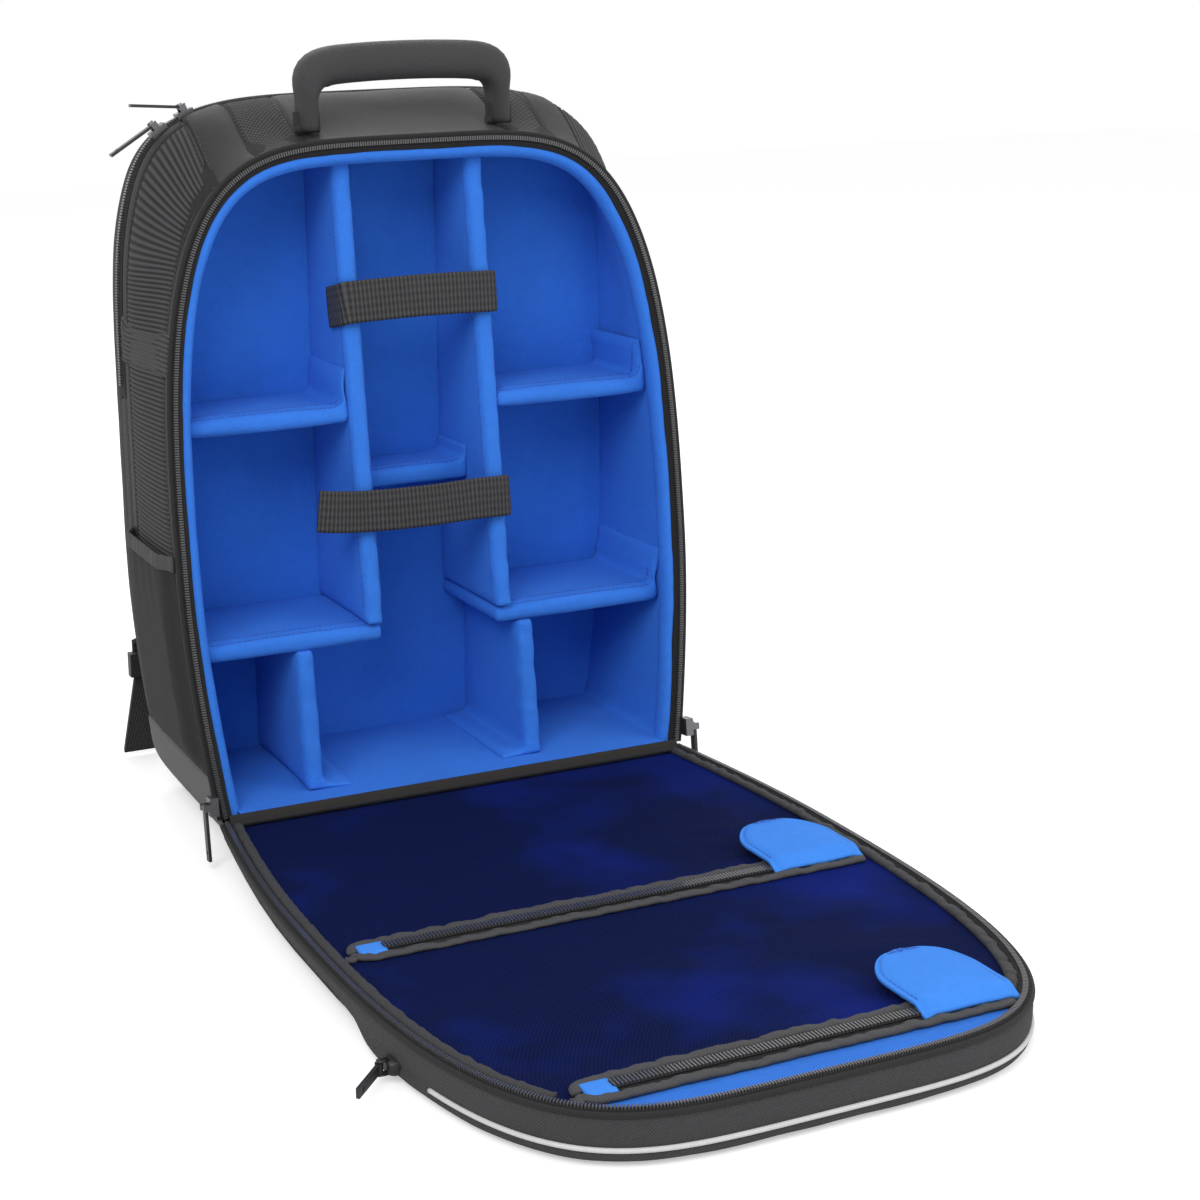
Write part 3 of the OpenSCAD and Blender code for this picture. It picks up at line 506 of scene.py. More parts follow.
def body_patch(name, l0, l1, y0, y1, cloth, puff=1.2, tuck=1.4, ripple=0.25, out=0.5, both=True, replaces=(),
               soft=9.0, shape=None, pitch=4.0, rib=0.0, even=False):
    """A sewn panel of the skin, from l0 to l1 round the outline and from y0 at its front to y1."""
    grids = []
    for side in ((1, -1) if both else (1,)):
        u = spaced(abs(l1 - l0), pitch)
        l = l0 + u * np.sign(l1 - l0)
        _, z = BODY.front.at(l)
        low, far = (edge(z) if callable(edge) else edge + 0 * z for edge in (y0, y1))
        deep = float((far - low).mean())
        v = spaced(deep)
        y = low[:, None] + (far - low)[:, None] * v[None] / deep
        ll = np.repeat((side * l)[:, None], len(v), 1)
        if even:
            ll = evened(ll, y)
        high = quilt(u, v, abs(l1 - l0), deep, puff, tuck, soft)
        base = body_at(ll, y, 0)
        high = high + out + ripple * rough(base, 22, side * 3.1) * np.clip(high, 0, 1)
        if rib:
            high = high + rib * np.sin(2 * math.pi * u / RIB)[:, None] * np.clip(high, 0, 1)
        if shape:
            high = high + shape(ll, y)
        g = body_at(ll, y, high)
        grids.append(g if side > 0 else g[:, ::-1])
    return surface(name, grids, cloth, "body", replaces, laid=u)


def seam_stitches(name, lines, pitch=3.4, body="body", cloth=None):
    """Rows of stitches. Each line is its points and the same points a little further out."""
    return bits(name, [(p, q - p) for p, q in lines], cloth or THREAD, pitch, (2.2, 0.55, 0.4), body)


SOFT = []
FOAM_FILL, PRESSURE, CLOTH_FRAMES = 0.8, 4.0, 12


def cushion(name, source, cloth, body, voxel, cap):
    """A padded piece from its solid: remeshed, then swollen as cloth over foam, up to cap."""
    obj = bpy.data.objects.new(name.replace(" ", "_"), node[source].data.copy())
    obj.data.materials.clear()
    bpy.context.scene.collection.objects.link(obj)
    grain = obj.modifiers.new("remesh", "REMESH")
    grain.mode, grain.voxel_size, grain.use_smooth_shade = "VOXEL", voxel / 1000, True
    mesh = bpy.data.meshes.new_from_object(obj.evaluated_get(bpy.context.evaluated_depsgraph_get()))
    obj.modifiers.clear()
    obj.data = mesh
    mesh.name = name
    SOFT.append((obj, cap))
    mesh.materials.clear()
    return settle(obj, cloth, body, (source,))


def swell():
    """Runs the cloth of every cushion at once, and keeps what it did within each cap."""
    rest = []
    for obj, cap in SOFT:
        co = np.zeros(len(obj.data.vertices) * 3)
        obj.data.vertices.foreach_get("co", co)
        rest.append(co.reshape(-1, 3))
        cloth = obj.modifiers.new("cloth", "CLOTH")
        cloth.settings.use_pressure, cloth.settings.uniform_pressure_force = True, PRESSURE
        cloth.settings.quality, cloth.settings.mass = 4, 0.2
        cloth.settings.tension_stiffness = cloth.settings.compression_stiffness = 12
        cloth.settings.effector_weights.gravity = 0
        cloth.collision_settings.use_collision = False
        cloth.point_cache.frame_start, cloth.point_cache.frame_end = 1, CLOTH_FRAMES
    for f in range(1, CLOTH_FRAMES + 1):
        bpy.context.scene.frame_set(f)
    graph = bpy.context.evaluated_depsgraph_get()
    for (obj, cap), co in zip(SOFT, rest):
        done = obj.evaluated_get(graph).to_mesh()
        new = np.zeros(len(done.vertices) * 3)
        done.vertices.foreach_get("co", new)
        move = new.reshape(-1, 3) - co
        far = np.linalg.norm(move, axis=1)[:, None]
        co = co + move / (far + 1e-9) * (cap / 1000) * np.tanh(far / (cap / 1000))
        obj.modifiers.clear()
        pull = obj.modifiers.new("ease", "SMOOTH")
        obj.data.vertices.foreach_set("co", co.ravel())
        pull.factor, pull.iterations = 0.5, 2
    bpy.context.scene.frame_set(1)


# ---------------------------------------------------------------- the bag's skin
L_TOP, L_STRIP, L_PATCH = 66.0, 97.0, 126.0
L_BAND, L_BAND_END, L_SLEEVE, L_POCKET, L_POCKET_END, L_LOW = (
    BODY.down_to(z) for z in (BAND_TOP, BAND_LOW, SLEEVE_END, POCKET_TOP, POCKET_LOW, TUB_TOP))
border = lambda z: front_y(z) + 12
border_back = SIDE_BACK - 13

FINE = 0.5
RIB_HIGH, BAND_RIB_HIGH = ((0.5, 0.3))
body_patch("ribbed sides", L_PATCH, L_LOW, border, border_back, RIBBED, 1.8, replaces=("side_panels",),
           pitch=FINE, rib=RIB_HIGH, even=True)
body_patch("front side strips", L_PATCH, L_LOW, front_y, border, SMOOTH_DARK, 0.5, ripple=0.15, out=0.2)
body_patch("back side strips", L_PATCH, L_LOW, border_back, SIDE_BACK, SMOOTH_DARK, 0.5, ripple=0.15, out=0.2)
body_patch("shoulder strips", L_STRIP, L_PATCH, front_y, SIDE_BACK, SMOOTH_DARK, 2.4, ripple=0.5, soft=5)
body_patch("shoulder patches", L_TOP, L_STRIP, front_y, SIDE_BACK, COARSE, 1.4,
           replaces=("shoulder_patches",))
body_patch("top panel", -L_TOP, L_TOP, front_y, SIDE_BACK, SMOOTH, 3.4, both=False, replaces=("top_panel",),
           soft=15, ripple=0.6)
body_patch("side bands", L_BAND, L_BAND_END, front_y, SIDE_BACK, RIBBED, 1.0, out=1.8,
           replaces=("side_bands",), pitch=FINE, rib=BAND_RIB_HIGH, even=True)
body_patch("sleeve zip tape", 0, L_SLEEVE, SIDE_BACK, GUSSET, TAPE_CLOTH, 0.3, 0.5,
           replaces=("sleeve_zip",))


def ring_line(l, inset_front, inset_back, out):
    """A line across the depth of the bag at one place round its outline."""
    _, z = BODY.front.at(np.array([l]))
    y = np.linspace(float(front_y(z)[0]) + inset_front, SIDE_BACK - inset_back, 40)
    return body_at(evened(0 * y + l, y), y, out)


def long_line(l0, l1, depth, out, back=None):
    """A line down the side, depth behind the front or at y = back."""
    l = np.linspace(l0, l1, 120)
    _, z = BODY.front.at(l)
    return body_at(l, front_y(z) + depth if back is None else 0 * l + back, out)


stitched = []
for side in (1, -1):
    for l, off, high in ((L_STRIP, 2.6, 1.3), (L_PATCH, -2.6, 1.3), (L_STRIP, -2.6, 0.9), (L_PATCH, 2.6, 0.9),
                         (L_TOP, 2.6, 0.8), (L_BAND, 2.4, 2.2), (L_BAND_END, -2.4, 2.2)):
        stitched.append(tuple(ring_line(side * (l + off), 3, 3, high + k) for k in (0, 1)))
    for depth, back in ((10, None), (2.2, None), (None, border_back + 2.4)):
        stitched.append(tuple(long_line(side * L_PATCH, side * L_LOW, depth, 0.75 + k, back) for k in (0, 1)))
seam_stitches("body stitches", stitched)


def round_back(l, y):
    """Rounds the rear gusset towards the worn side."""
    return -9 * (1 - np.sqrt(np.clip(1 - ((y - GUSSET) / (BACK_Y + 1 - GUSSET)) ** 2, 0, 1)))


body_patch("rear gusset", 0, L_LOW, GUSSET, BACK_Y, OXFORD, 1.0, 0.8, replaces=("rear_gusset",),
           shape=round_back)
body_patch("lower rear gusset", L_SLEEVE, L_LOW, SIDE_BACK, GUSSET, OXFORD, 0.8)
body_patch("base tub", L_LOW, BODY.end, front_y, BACK_Y - 8, COATED, 1.0, 0.8, out=0.4,
           replaces=("base_tub",), shape=lambda l, y: -1.5 * ease((4 - BODY.front.at(l)[1]) / 4))


def sleeve_line(out):
    """The middle of the sleeve zip and the way out from it."""
    end = BODY.down_to(SLEEVE_END + 4)
    l = np.concatenate([np.linspace(-end, 0, 90), np.linspace(0, end, 90)[1:]])
    return body_at(l, 0 * l + ZIP_Y, out), body_at(l, 0 * l + ZIP_Y, out + 5) - body_at(l, 0 * l + ZIP_Y, out)


bits("sleeve zip teeth with painted glints", [sleeve_line(1.5)], GLINT_TEETH, 1.7, (0.95, 4.2, 1.5))


# ---------------------------------------------------------------- the front opening
R_END = RIM.end
l_rim = np.linspace(-R_END, R_END, 240)
tape_profile = [(0.3, 3.6), (-0.2, 2.4), (-1.2, 2.1), (-4.5, 2.1), (-6.2, 2.4), (-7.6, 3.4), (-8.4, 5.0)]
surface("main zip tape", [np.stack([rim_at(l_rim, d, o) for o, d in tape_profile], 1)], TAPE_CLOTH,
        replaces=("main_zip",))
up = rim_at(l_rim, -5, -3) - rim_at(l_rim, 0, -3)
bits("main zip teeth with painted glints", [(rim_at(l_rim, 1.3, -2.6), up)], GLINT_TEETH, 1.5, (0.85, 2.5, 1.6))
surface("rim welt", [sweep(rim_at(l_rim, 3.4, 0.6), rim_at(l_rim, 3.4, 5) - rim_at(l_rim, 3.4, 0), 1.5, 1.3)],
        BLACK_BINDING)


# ---------------------------------------------------------------- the bay
l_bay = np.linspace(-BAY.end, BAY.end, 300)
_, z_bay = BAY.front.at(l_bay)
fronts = np.where(z_bay > FLOOR_Z + 0.5, front_y(z_bay, 4.2), HINGE_Y + 0.6)
depths = np.linspace(0, 1, 24) ** 1.2
y_bay = fronts[:, None] + (BAY_BACK - fronts)[:, None] * depths[None]
ll = np.repeat(l_bay[:, None], 24, 1)
slack = rough(BAY.at(ll, y_bay), 26, 1.7)
surface("bay lining", [BAY.at(ll, y_bay, -0.3 - 0.6 * slack * ease(depths * 6)[None])], SHADED_FELT,
        replaces=("lining", "floor_pad"))
roll = [(-6.7, 4.6), (-7.3, 3.2), (-8.6, 2.5), (-10.4, 2.7), (-12.1, 4.0), (-13.1, 6.2), (-13.3, 8.8),
        (-12.6, 11.6), (-11.3, 14.4), (-9.9, 16.4), (-9.2, 17.5)]
grid = np.stack([rim_at(l_rim, d + 0.35 * np.sin(l_rim * 0.09), o) for o, d in roll], 1)
surface("opening roll", [grid + 0.45 * rough(grid, 12, 4)[..., None] * np.array([0, 1, 0])], SHADED_FELT)


def fill(outline, inset, foot, rows=64, cols=61):
    """Points over an outline's whole face, as (x, height), and how far each is from its edge."""
    l = np.linspace(0, outline.end, 400)
    x, z = outline.at(l, -inset)
    keep = np.maximum.accumulate(-z) <= -z + 1e-9
    x, z = x[keep], z[keep]
    t = np.linspace(0, 1, rows)
    z_rows = foot + (z.max() - foot) * (1 - (1 - t) ** 1.7)
    half = np.interp(-z_rows, -z, x)
    u = np.sin(np.linspace(-1, 1, cols) * math.pi / 2) * 0.35 + np.linspace(-1, 1, cols) * 0.65
    X = half[:, None] * u[None]
    Z = np.repeat(z_rows[:, None], cols, 1)
    line = np.concatenate([np.stack([x, z], 1), [[0, foot]]])
    pts = np.stack([np.abs(X), Z], -1).reshape(-1, 1, 2)
    a, b = line[:-1][None], line[1:][None]
    ab = b - a
    k = np.clip(((pts - a) * ab).sum(-1) / ((ab ** 2).sum(-1) + 1e-9), 0, 1)
    edge = np.linalg.norm(pts - a - k[..., None] * ab, axis=-1).min(1).reshape(X.shape)
    return X, Z, edge


X, Z, edge = fill(BAY.back, 0.5, FLOOR_Z)
back = np.stack([X, 0 * X + BAY_BACK, Z], -1)
back[..., 1] -= 0.6 + 1.2 * ease(edge / 14) + 0.8 * rough(back, 40, 5)
surface("bay back", [back], SHADED_FELT, replaces=("sleeve_wall",))

SHELVES = ("upper_left_shelf", "lower_left_shelf", "upper_right_shelf", "lower_right_shelf", "centre_shelf")
UPRIGHTS = ("left_upright", "right_upright")
for name in SHELVES + UPRIGHTS + ("left_post", "right_post"):
    cushion(name + "_cushion", name, SHADED_FELT, "body" if "upright" in name else name + "_body", 2.8, 1.0)


# ---------------------------------------------------------------- gear straps
def smooth_line(points, step=2.0, rounds=3):
    """The same line with even steps and soft bends."""
    p = np.asarray(points, float)
    l = lengths(p)
    p = read(np.linspace(0, l[-1], max(8, int(l[-1] / step))), l, p)
    for _ in range(rounds):
        p[1:-1] = (p[:-2] + 2 * p[1:-1] + p[2:]) / 4
    return p


up_rim = np.array([0, math.sin(LEAN), math.cos(LEAN)])
WEB_HALF, WEB_THICK = 12.5, 1.25
for which, height, points in (
        ("upper", UPPER_STRAP, [(-50.4, 31, -2), (-50.4, 12, -1), (-49, 9.2, 0), (-25, 7.4, 0.6), (0, 6.6, 1),
                                (25, 7.4, 0.6), (49.6, 9.6, 0), (50.4, 12, 0)]),
        ("lower", LOWER_STRAP, [(-76, 7.6, 4), (-66, 6.2, 2.5), (-50, 8.6, 0.8), (-25, 6.6, 0), (0, 6.0, 0),
                                (25, 6.8, 0.6), (49.6, 9.4, 0), (50.4, 12, 0)])):
    line = smooth_line([rim_point(x, height + dz, d) for x, d, dz in points])
    surface(which + " gear strap", [sweep(line, up_rim, WEB_HALF, WEB_THICK, 16, 5)], STRAP,
            which + "_gear_strap_body", replaces=(which + "_gear_strap",), closed=True)

# ---------------------------------------------------------------- the handle
LEG_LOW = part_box("handle_tabs")[0][2] * 1000 + 1.6
half_path = [(-61.5, LEG_LOW), (-61.5, 436), (-61, 445), (-57, 452.5), (-49, 455.5), (-36, 456.5),
             (-18, 457.2), (0, 457.4)]
path = half_path + [(-x, z) for x, z in half_path[-2::-1]]
line = smooth_line([(x, HANDLE_Y, z) for x, z in path], 3, 3)
grip = ease((line[:, 2] - 436) / 18)
foot = ease((line[:, 2] - LEG_LOW) / 12)
surface("handle sleeve", [sweep(line, (0, 1, 0), 11.5, 4.9 + 0.8 * foot + 5.6 * grip, 28, 2.5)], GRIP,
        "handle", replaces=("handle_grip",), closed=True)

# ---------------------------------------------------------------- side pockets
y_pocket = lambda z: front_y(z) + 9


def pocket_bulge(l, y):
    """How far the pocket stands out, with its gathers."""
    _, z = BODY.front.at(l)
    low = ease((z - 46) / 24)
    across = ease((y - y_pocket(z)) / 14) * ease((SIDE_BACK - y) / 14)
    gather = 0.4 * np.sin(y * 1.15 + 0.6 * np.sin(y * 0.31)) * ease((z - 120) / 55)
    return (5.6 * low + gather) * across


body_patch("side pockets", L_POCKET, L_POCKET_END, y_pocket, SIDE_BACK, STRETCH, 0.6, 0.5, 0.5, 1.0,
           replaces=("side_pockets",), shape=pocket_bulge, even=True)
mouths = []
for side in (1, -1):
    y = np.linspace(float(y_pocket(176.0)) - 2, SIDE_BACK + 1, 60)
    l = evened(0 * y + side * L_POCKET, y)
    top = body_at(l, y, 1.6 + pocket_bulge(l, y))
    top[:, 2] += 0.2 * np.sin(y * 1.15) - 1
    mouths.append(sweep(top, (0, 0, 1), 4.6, 1.4 + 0.1 * np.sin(y * 1.15), 14, 3))
surface("pocket bindings", mouths, BINDING, replaces=("pocket_bindings",), closed=True)

# ---------------------------------------------------------------- the worn side
X, Z, edge = fill(BODY.back, 8, 8)
back = np.stack([X, BACK_Y - 7 + 7 * ease(edge / 12), Z], -1)
surface("back panel", [back], AIR_MESH, replaces=("back_panel",))
cushion("back pads", "back_pads", AIR_MESH, "body", 5, 5)
for side in ("left", "right"):
    cushion(side + " shoulder strap", side + "_shoulder_strap", AIR_MESH, side + "_strap", 4.5, 3)
cushion("strap wings", "strap_wings", OXFORD_SOLID, "body", 1.6, 1.2)

# ---------------------------------------------------------------- the flap
SEAM_MIDDLE, SEAM_R, SEAM_HALF = 320, 391, 156
TUCK_FROM, TUCK_LONG, TUCK_IN = 190, 70, 10
PIPING_HALF, SILVER_Z, SILVER_DOWN = 152, 8.5, 300


def front_seam(x):
    """How far from the hinge the arched seam of the flap's face lies."""
    return SEAM_MIDDLE - SEAM_R + np.sqrt(SEAM_R ** 2 - np.clip(x, 1 - SEAM_R, SEAM_R - 1) ** 2)


l_flap = np.linspace(-R_END, R_END, 260)
gusset = [(0, 24.4), (0.7, 22), (1.2, 18), (1.1, 13), (0.5, 10.4), (0.1, 8.6), (0.9, 6.8), (0.9, 4.8),
          (-0.4, 2.8), (-2.4, 1.7)]
tucked = [(0, 24.4), (0.4, 22), (-0.6, 17), (-3.2, 12), (-5.4, 9.8), (-7.2, 8.2), (-8.8, 6.7), (-10.3, 4.9),
          (-11.5, 3.1), (-12.4, 1.7)]


def tuck_under(s):
    """How far the gusset rounds under the flap: 0 at its tip, 1 at its sides."""
    return 1 - ease((s - TUCK_FROM) / TUCK_LONG)


share = tuck_under(RIM.at(l_flap)[1])
g = np.stack([flap_at(l_flap, z0 + (z1 - z0) * share, o0 + (o1 - o0) * share)
              for (o0, z0), (o1, z1) in zip(gusset, tucked)], 1)
g[..., 2] += 0.5 * rough(g, 18, 2)
surface("flap gusset", [g], OXFORD, "flap", replaces=("flap_gusset",))

X, S, edge = fill(RIM, 2.2, 1.5, 70, 71)
seam = front_seam(X)
X = X * (1 - TUCK_IN / WIDE * tuck_under(S))
under = np.stack([X, HINGE_Y - S, 0.25 + 1.4 * (1 - ease(edge / 20)) ** 2], -1)
under[..., 2] += 0.5 * np.exp(-((S - seam) / 3) ** 2)
outer_face = surface("flap outer face", [under], OXFORD, "flap",
                     replaces=("flap_lower_panel", "flap_upper_panel"))
outer_face.data.materials.append(SMOOTH.material)
above = (S > seam).ravel()
for poly in outer_face.data.polygons:
    poly.material_index = int(above[list(poly.vertices)].all())
x_seam = np.linspace(-PIPING_HALF, PIPING_HALF, 90)
s_seam = front_seam(x_seam)
z_seam = 0.7 + 1.4 * (1 - ease((SEAM_HALF - np.abs(x_seam)) / 20)) ** 2
surface("blue piping", [sweep(np.stack([x_seam, HINGE_Y - s_seam, z_seam], 1), (0, 1, 0), 1.6, 0.8)],
        BLUE_CORD, "flap", replaces=("blue_piping",), closed=True)
front_line = np.stack([x_seam, HINGE_Y - s_seam + 5, z_seam - 0.35], 1)
surface("front zip", [sweep(front_line, (0, 1, 0), 3.4, 0.3, 8, 4)], TAPE_CLOTH, "flap",
        replaces=("front_zip",), closed=True)
bits("front zip teeth with painted glints", [(front_line + (0, 0, -0.3), (0, 0, -1))], GLINT_TEETH, 1.8, (0.95, 3.6, 0.5), "flap")
slider_s, slider_z = 271.5, 8
slider_x = -float(RIM.at(RIM.down_to(slider_s))[0])
from_side = lambda out, z: (slider_x - out, HINGE_Y - slider_s, slider_z + z)
metalwork = [sweep([from_side(out, 0) for out in (-1.5, 0, 2, 3.8, 4.8)], (0, 1, 0),
                   np.array([5.5, 5.5, 5.4, 4.8, 4.0]), np.array([4, 4, 3.9, 3.5, 3.0]), 20, 4),
             sweep([from_side(7.3, z) for z in (-4, 0, 4)], (0, 1, 0), 1, 1)]
metalwork += [sweep([from_side(out, z) for out in (3.5, 6.5, 8.8, 9.2)], (0, 1, 0),
                    np.array([2, 2, 1.7, 0.8]), 0.6, 16, 3)
              for z in (-3.4, 3.4)]
surface("front zip slider", metalwork, PLASTIC, "flap", closed=True)
l_pipe = np.linspace(-RIM.down_to(SILVER_DOWN), RIM.down_to(SILVER_DOWN), 180)
surface("silver piping", [sweep(flap_at(l_pipe, SILVER_Z, 0.9), (0, 0, 1), 1.2, 1.2)], SILVER, "flap",
        replaces=("silver_piping",), closed=True)

tape_profile = [(0.2, 24.2), (-0.3, 25.6), (-1.2, 26), (-4.6, 26), (-5.6, 25.4), (-6.6, 24.2)]
surface("flap zip tape", [np.stack([flap_at(l_flap, z, o) for o, z in tape_profile], 1)], TAPE_CLOTH, "flap",
        replaces=("flap_zip",))
bits("flap zip teeth with painted glints", [(flap_at(l_flap, 26.7, -2.6), (0, 0, 1))], GLINT_TEETH, 1.5, (0.85, 2.5, 1.6), "flap")
surface("flap welt", [sweep(flap_at(l_flap, 24.6, 0.6), (0, 0, 1), 1.4, 1.2)], BLACK_BINDING, "flap")
rolls = []
for side in (1, -1):
    l = np.linspace(RIM.down_to(360), RIM.end - 1, 260)
    fold = (rough(np.stack([l, 0 * l + side, 0 * l], -1), 7, 6)
            + 0.5 * rough(np.stack([l, 0 * l, 0 * l + side], -1), 3, 2))
    line = np.stack([flap_at(side * a, 25.2 + 0.5 * f, -8.6 + 0.5 * f) for a, f in zip(l, fold)])
    across = flap_at(side * l, 25, -5) - flap_at(side * l, 25, -11)
    rolls.append(sweep(line, across, 2.8 + 0.6 * fold, 1.7 + 0.7 * fold, 14, 2.4))
surface("flap side bindings", rolls, DARK_BINDING, "flap", closed=True)


def flap_region(s0, s1, inset, rows, cols):
    """Points over the flap from s0 to s1, within inset of its rim, as (x, distance from the hinge)."""
    s = np.linspace(s0, s1, rows)
    l = np.linspace(0, RIM.end, 300)
    x, h = RIM.at(l, -inset)
    half = np.interp(-s, -h, x)
    return half[:, None] * np.linspace(-1, 1, cols)[None], np.repeat(s[:, None], cols, 1)


NEAR, FAR = 190.0, 357.0
POCKET_ZIPS = ((NEAR, -146.0, 149.0), (FAR, -109.0, 112.0))
ZIP_COVERS = (("near", 123.0, NEAR + 6, 27.5), ("far", 91.0, FAR + 6, 26.5))
COVER_LONG = 56.0
X, S = flap_region(3.8, FAR + 6, 9.5, 110, 90)
net = np.stack([X, HINGE_Y - S, 0 * X + 23.9], -1)
slack = np.minimum(np.minimum(S - 5, FAR - 9 - S), np.abs(S - NEAR) - 9)
slack = ease(slack / 24) * ease((np.abs(X).max(1)[:, None] - np.abs(X)) / 24)
skew = np.stack([X * 0.6 + S * 0.5, X * 0.5 - S * 1.6, 0 * X], -1)
fine = np.stack([X * 0.25 + S * 0.2, S * 1.4, 0 * X], -1)
net[..., 2] += (-2.0 + 2.0 * rough(skew, 60, 8) + 0.7 * rough(skew, 22, 3) + 0.5 * rough(fine, 7, 5)) * slack
surface("mesh pockets", [net], NAVY, "flap", replaces=("mesh_pockets",))
X, S = flap_region(FAR + 5, 382.5, 6, 20, 90)
crescent = np.stack([X, HINGE_Y - S, 23.6 + 0.8 * ease((S - FAR - 10) / 12)
                     + 0.5 * rough(np.stack([X, S, 0 * X], -1), 25, 4)], -1)
surface("flap lining", [crescent], SHADED_FELT, "flap", replaces=("flap_lining",))

wrinkled, tapes, teeth, coils, tabs = [], [], [], [], []
for s, left, right in POCKET_ZIPS:
    x = np.linspace(left + 9, right, int(right - left))
    for k, off in enumerate((-8.2, 8.2)):
        turn = np.linspace(0, 1, 24)[:-1]
        xs = np.concatenate([left + 9 * (1 - np.cos(turn * math.pi / 2)) - 1, x])
        offs = np.concatenate([off * np.sin(turn * math.pi / 2), 0 * x + off])
        if k:
            xs, offs = np.concatenate([[left - 7, left - 4], xs[6:]]), np.concatenate([[5, 6.4], offs[6:]])
        q = np.stack([xs, 0 * xs + off + s, 0 * xs], -1)
        wave = rough(q, 7.5, 9) + 0.45 * rough(q, 3.4, 2)
        p = np.stack([xs, HINGE_Y - s - offs + 0.6 * wave, 25.3 + 0.5 * wave], 1)
        wrinkled.append(sweep(p, np.gradient(p, axis=0)[:, [1, 0, 2]] * (-1, 1, 0), 2.7 + 0.4 * wave,
                              1.4 + 0.4 * wave, 12, 2.4))
    start = left + 15
    x = np.linspace(start, right, int(right - start))
    flat = np.stack([x, HINGE_Y - s + 0 * x, 24.4 + 0 * x], 1)
    tapes.append(sweep(flat + (0, 0, 0.5), (0, 1, 0), 6.4, 0.35, 8, 5))
    teeth.append((flat + (0, 0, 2.3), (0, 0, 1)))
    coils.append(sweep(flat + (0, 0, 1.7), (0, 1, 0), 3.0, 0.9, 12, 3))
    ends = np.stack([np.linspace(left + 2, start + 1, 12), np.full(12, HINGE_Y - s), np.full(12, 25.6)], 1)
    tabs.append(sweep(ends, (0, 1, 0), 6.2, 1.2, 16, 3))
surface("pocket zip bindings", wrinkled, BINDING, "flap", replaces=("mesh_bindings",), closed=True)
# The tabs take the lighter felt copy, with painted light.
surface("pocket zip tabs", tabs, LIT_FELT, "flap", closed=True)
surface("pocket zip tapes", tapes, TAPE_CLOTH, "flap", replaces=("mesh_zips",), closed=True)
surface("pocket zip coils", coils, TAPE_CLOTH, "flap", closed=True)
bits("pocket zip teeth with painted glints", teeth, GLINT_TEETH, 1.9, (0.95, 5.8, 1.5), "flap")

for name, mid_x, s, half_w in ZIP_COVERS:
    turn = np.linspace(0, 1, 18)
    straight = COVER_LONG - half_w
    d = np.concatenate([np.linspace(0, straight, 16)[:-1], straight + half_w * np.sin(turn * math.pi / 2)])
    half = np.concatenate([np.full(15, half_w), np.maximum(0.3, half_w * np.cos(turn * math.pi / 2))])
    a = np.linspace(-1, 1, 41)
    a = np.sign(a) * (1 - (1 - np.abs(a)) ** 1.25)
    edge = np.minimum((1 - np.abs(a))[None] * half[:, None], (COVER_LONG - d)[:, None] + 0 * a[None])
    lift = 25.4 + 3.9 * ease(d / 9)[:, None] + 1.6 * ease(edge / 7) - 0.6 * np.exp(-((edge - 2.6) / 0.9) ** 2)
    p = np.stack([mid_x + half[:, None] * a[None], HINGE_Y - s + d[:, None] + 0 * a[None],
                  lift + 0 * a[None]], -1)
    p[..., 2] += 0.4 * rough(p, 15, s) + 1.2 * ease((d - 34) / 22)[:, None] * np.abs(a)[None] ** 2
    # The covers take the lighter felt copy, with painted light.
    surface(name + " zip cover", [p], LIT_FELT, name + "_zip_cover_body",
            replaces=(name + "_zip_cover",), thick=1.9)
    ring = np.concatenate([p[4:, 1, :], p[-1:, 20, :], p[4:, -2, :][::-1]])
    side = read(np.arange(200) / 199, np.linspace(0, 1, len(ring)), ring)
    middle = np.array([mid_x, HINGE_Y - s + 24, 0])
    away = np.linalg.norm((middle - side)[:, :2], axis=1)
    inner = side + (middle - side) * (1, 1, 0) * (2.4 / np.maximum(4, away))[:, None]
    inner[:, 2] += 1.15
    seam_stitches(name + " cover stitches", [(inner, inner + (0, 0, 1))], 3.2, name + "_zip_cover_body",
                  BLUE_THREAD)

x = np.linspace(-HINGE_HALF + 4, HINGE_HALF - 4, 200)
fold = rough(np.stack([x, 0 * x, 0 * x], -1), 9, 3)
hinge = [(-74.0, 29.6), (-74.6, 30.2), (-75.5, 30.3), (-76.5, 29.7), (-77.4, 28.7), (-78.2, 27.3),
         (-78.9, 26.0), (-79.6, 24.2)]
grid = np.stack([np.stack([x, y + 0.5 * fold, z + 0.5 * fold * (1 if 1 < k < 7 else 0.2)], 1)
                 for k, (y, z) in enumerate(hinge)], 1)
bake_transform(surface("hinge cloth", [grid], HINGE_CLOTH, None))

# ---------------------------------------------------------------- finishes of the solids that stay
FINISHES = {
    "shell": OXFORD_SOLID, "ladder_locks": PLASTIC, "zip_sliders": METAL, "base_straps": STRAP_SOLID,
    "handle_tabs": GRIP_SOLID, "left_strap_webbing": STRAP_SOLID, "right_strap_webbing": STRAP_SOLID,
    "left_main_puller": PULLER, "right_main_puller": PULLER, "upper_sleeve_puller": PULLER,
    "lower_sleeve_puller": PULLER, "front_puller": PLASTIC, "near_slider": METAL, "far_slider": METAL,
    "flap_board": OXFORD_SOLID, "flap_hinge": OXFORD_SOLID,
}
for name, cloth in FINISHES.items():
    node[name].data.materials.clear()
    node[name].data.materials.append(cloth.material)

swell()


def sewn(obj, start, end, toward, count=90):
    """Points along a line on a piece's surface, met from outside along toward, with the way out at each."""
    graph = bpy.context.evaluated_depsgraph_get()
    graph.update()
    tree = BVHTree.FromObject(obj, graph)
    hits, ups = [], []
    for t in np.linspace(0, 1, count):
        place = Vector(start) * (1 - t) + Vector(end) * t
        where, normal = tree.ray_cast(place / 1000, Vector(toward))[:2]
        if where is not None:
            hits.append(np.array(where) * 1000 + np.array(normal) * 0.25)
            ups.append(np.array(normal))
    return (np.array(hits), np.array(ups)) if len(hits) > 8 else None


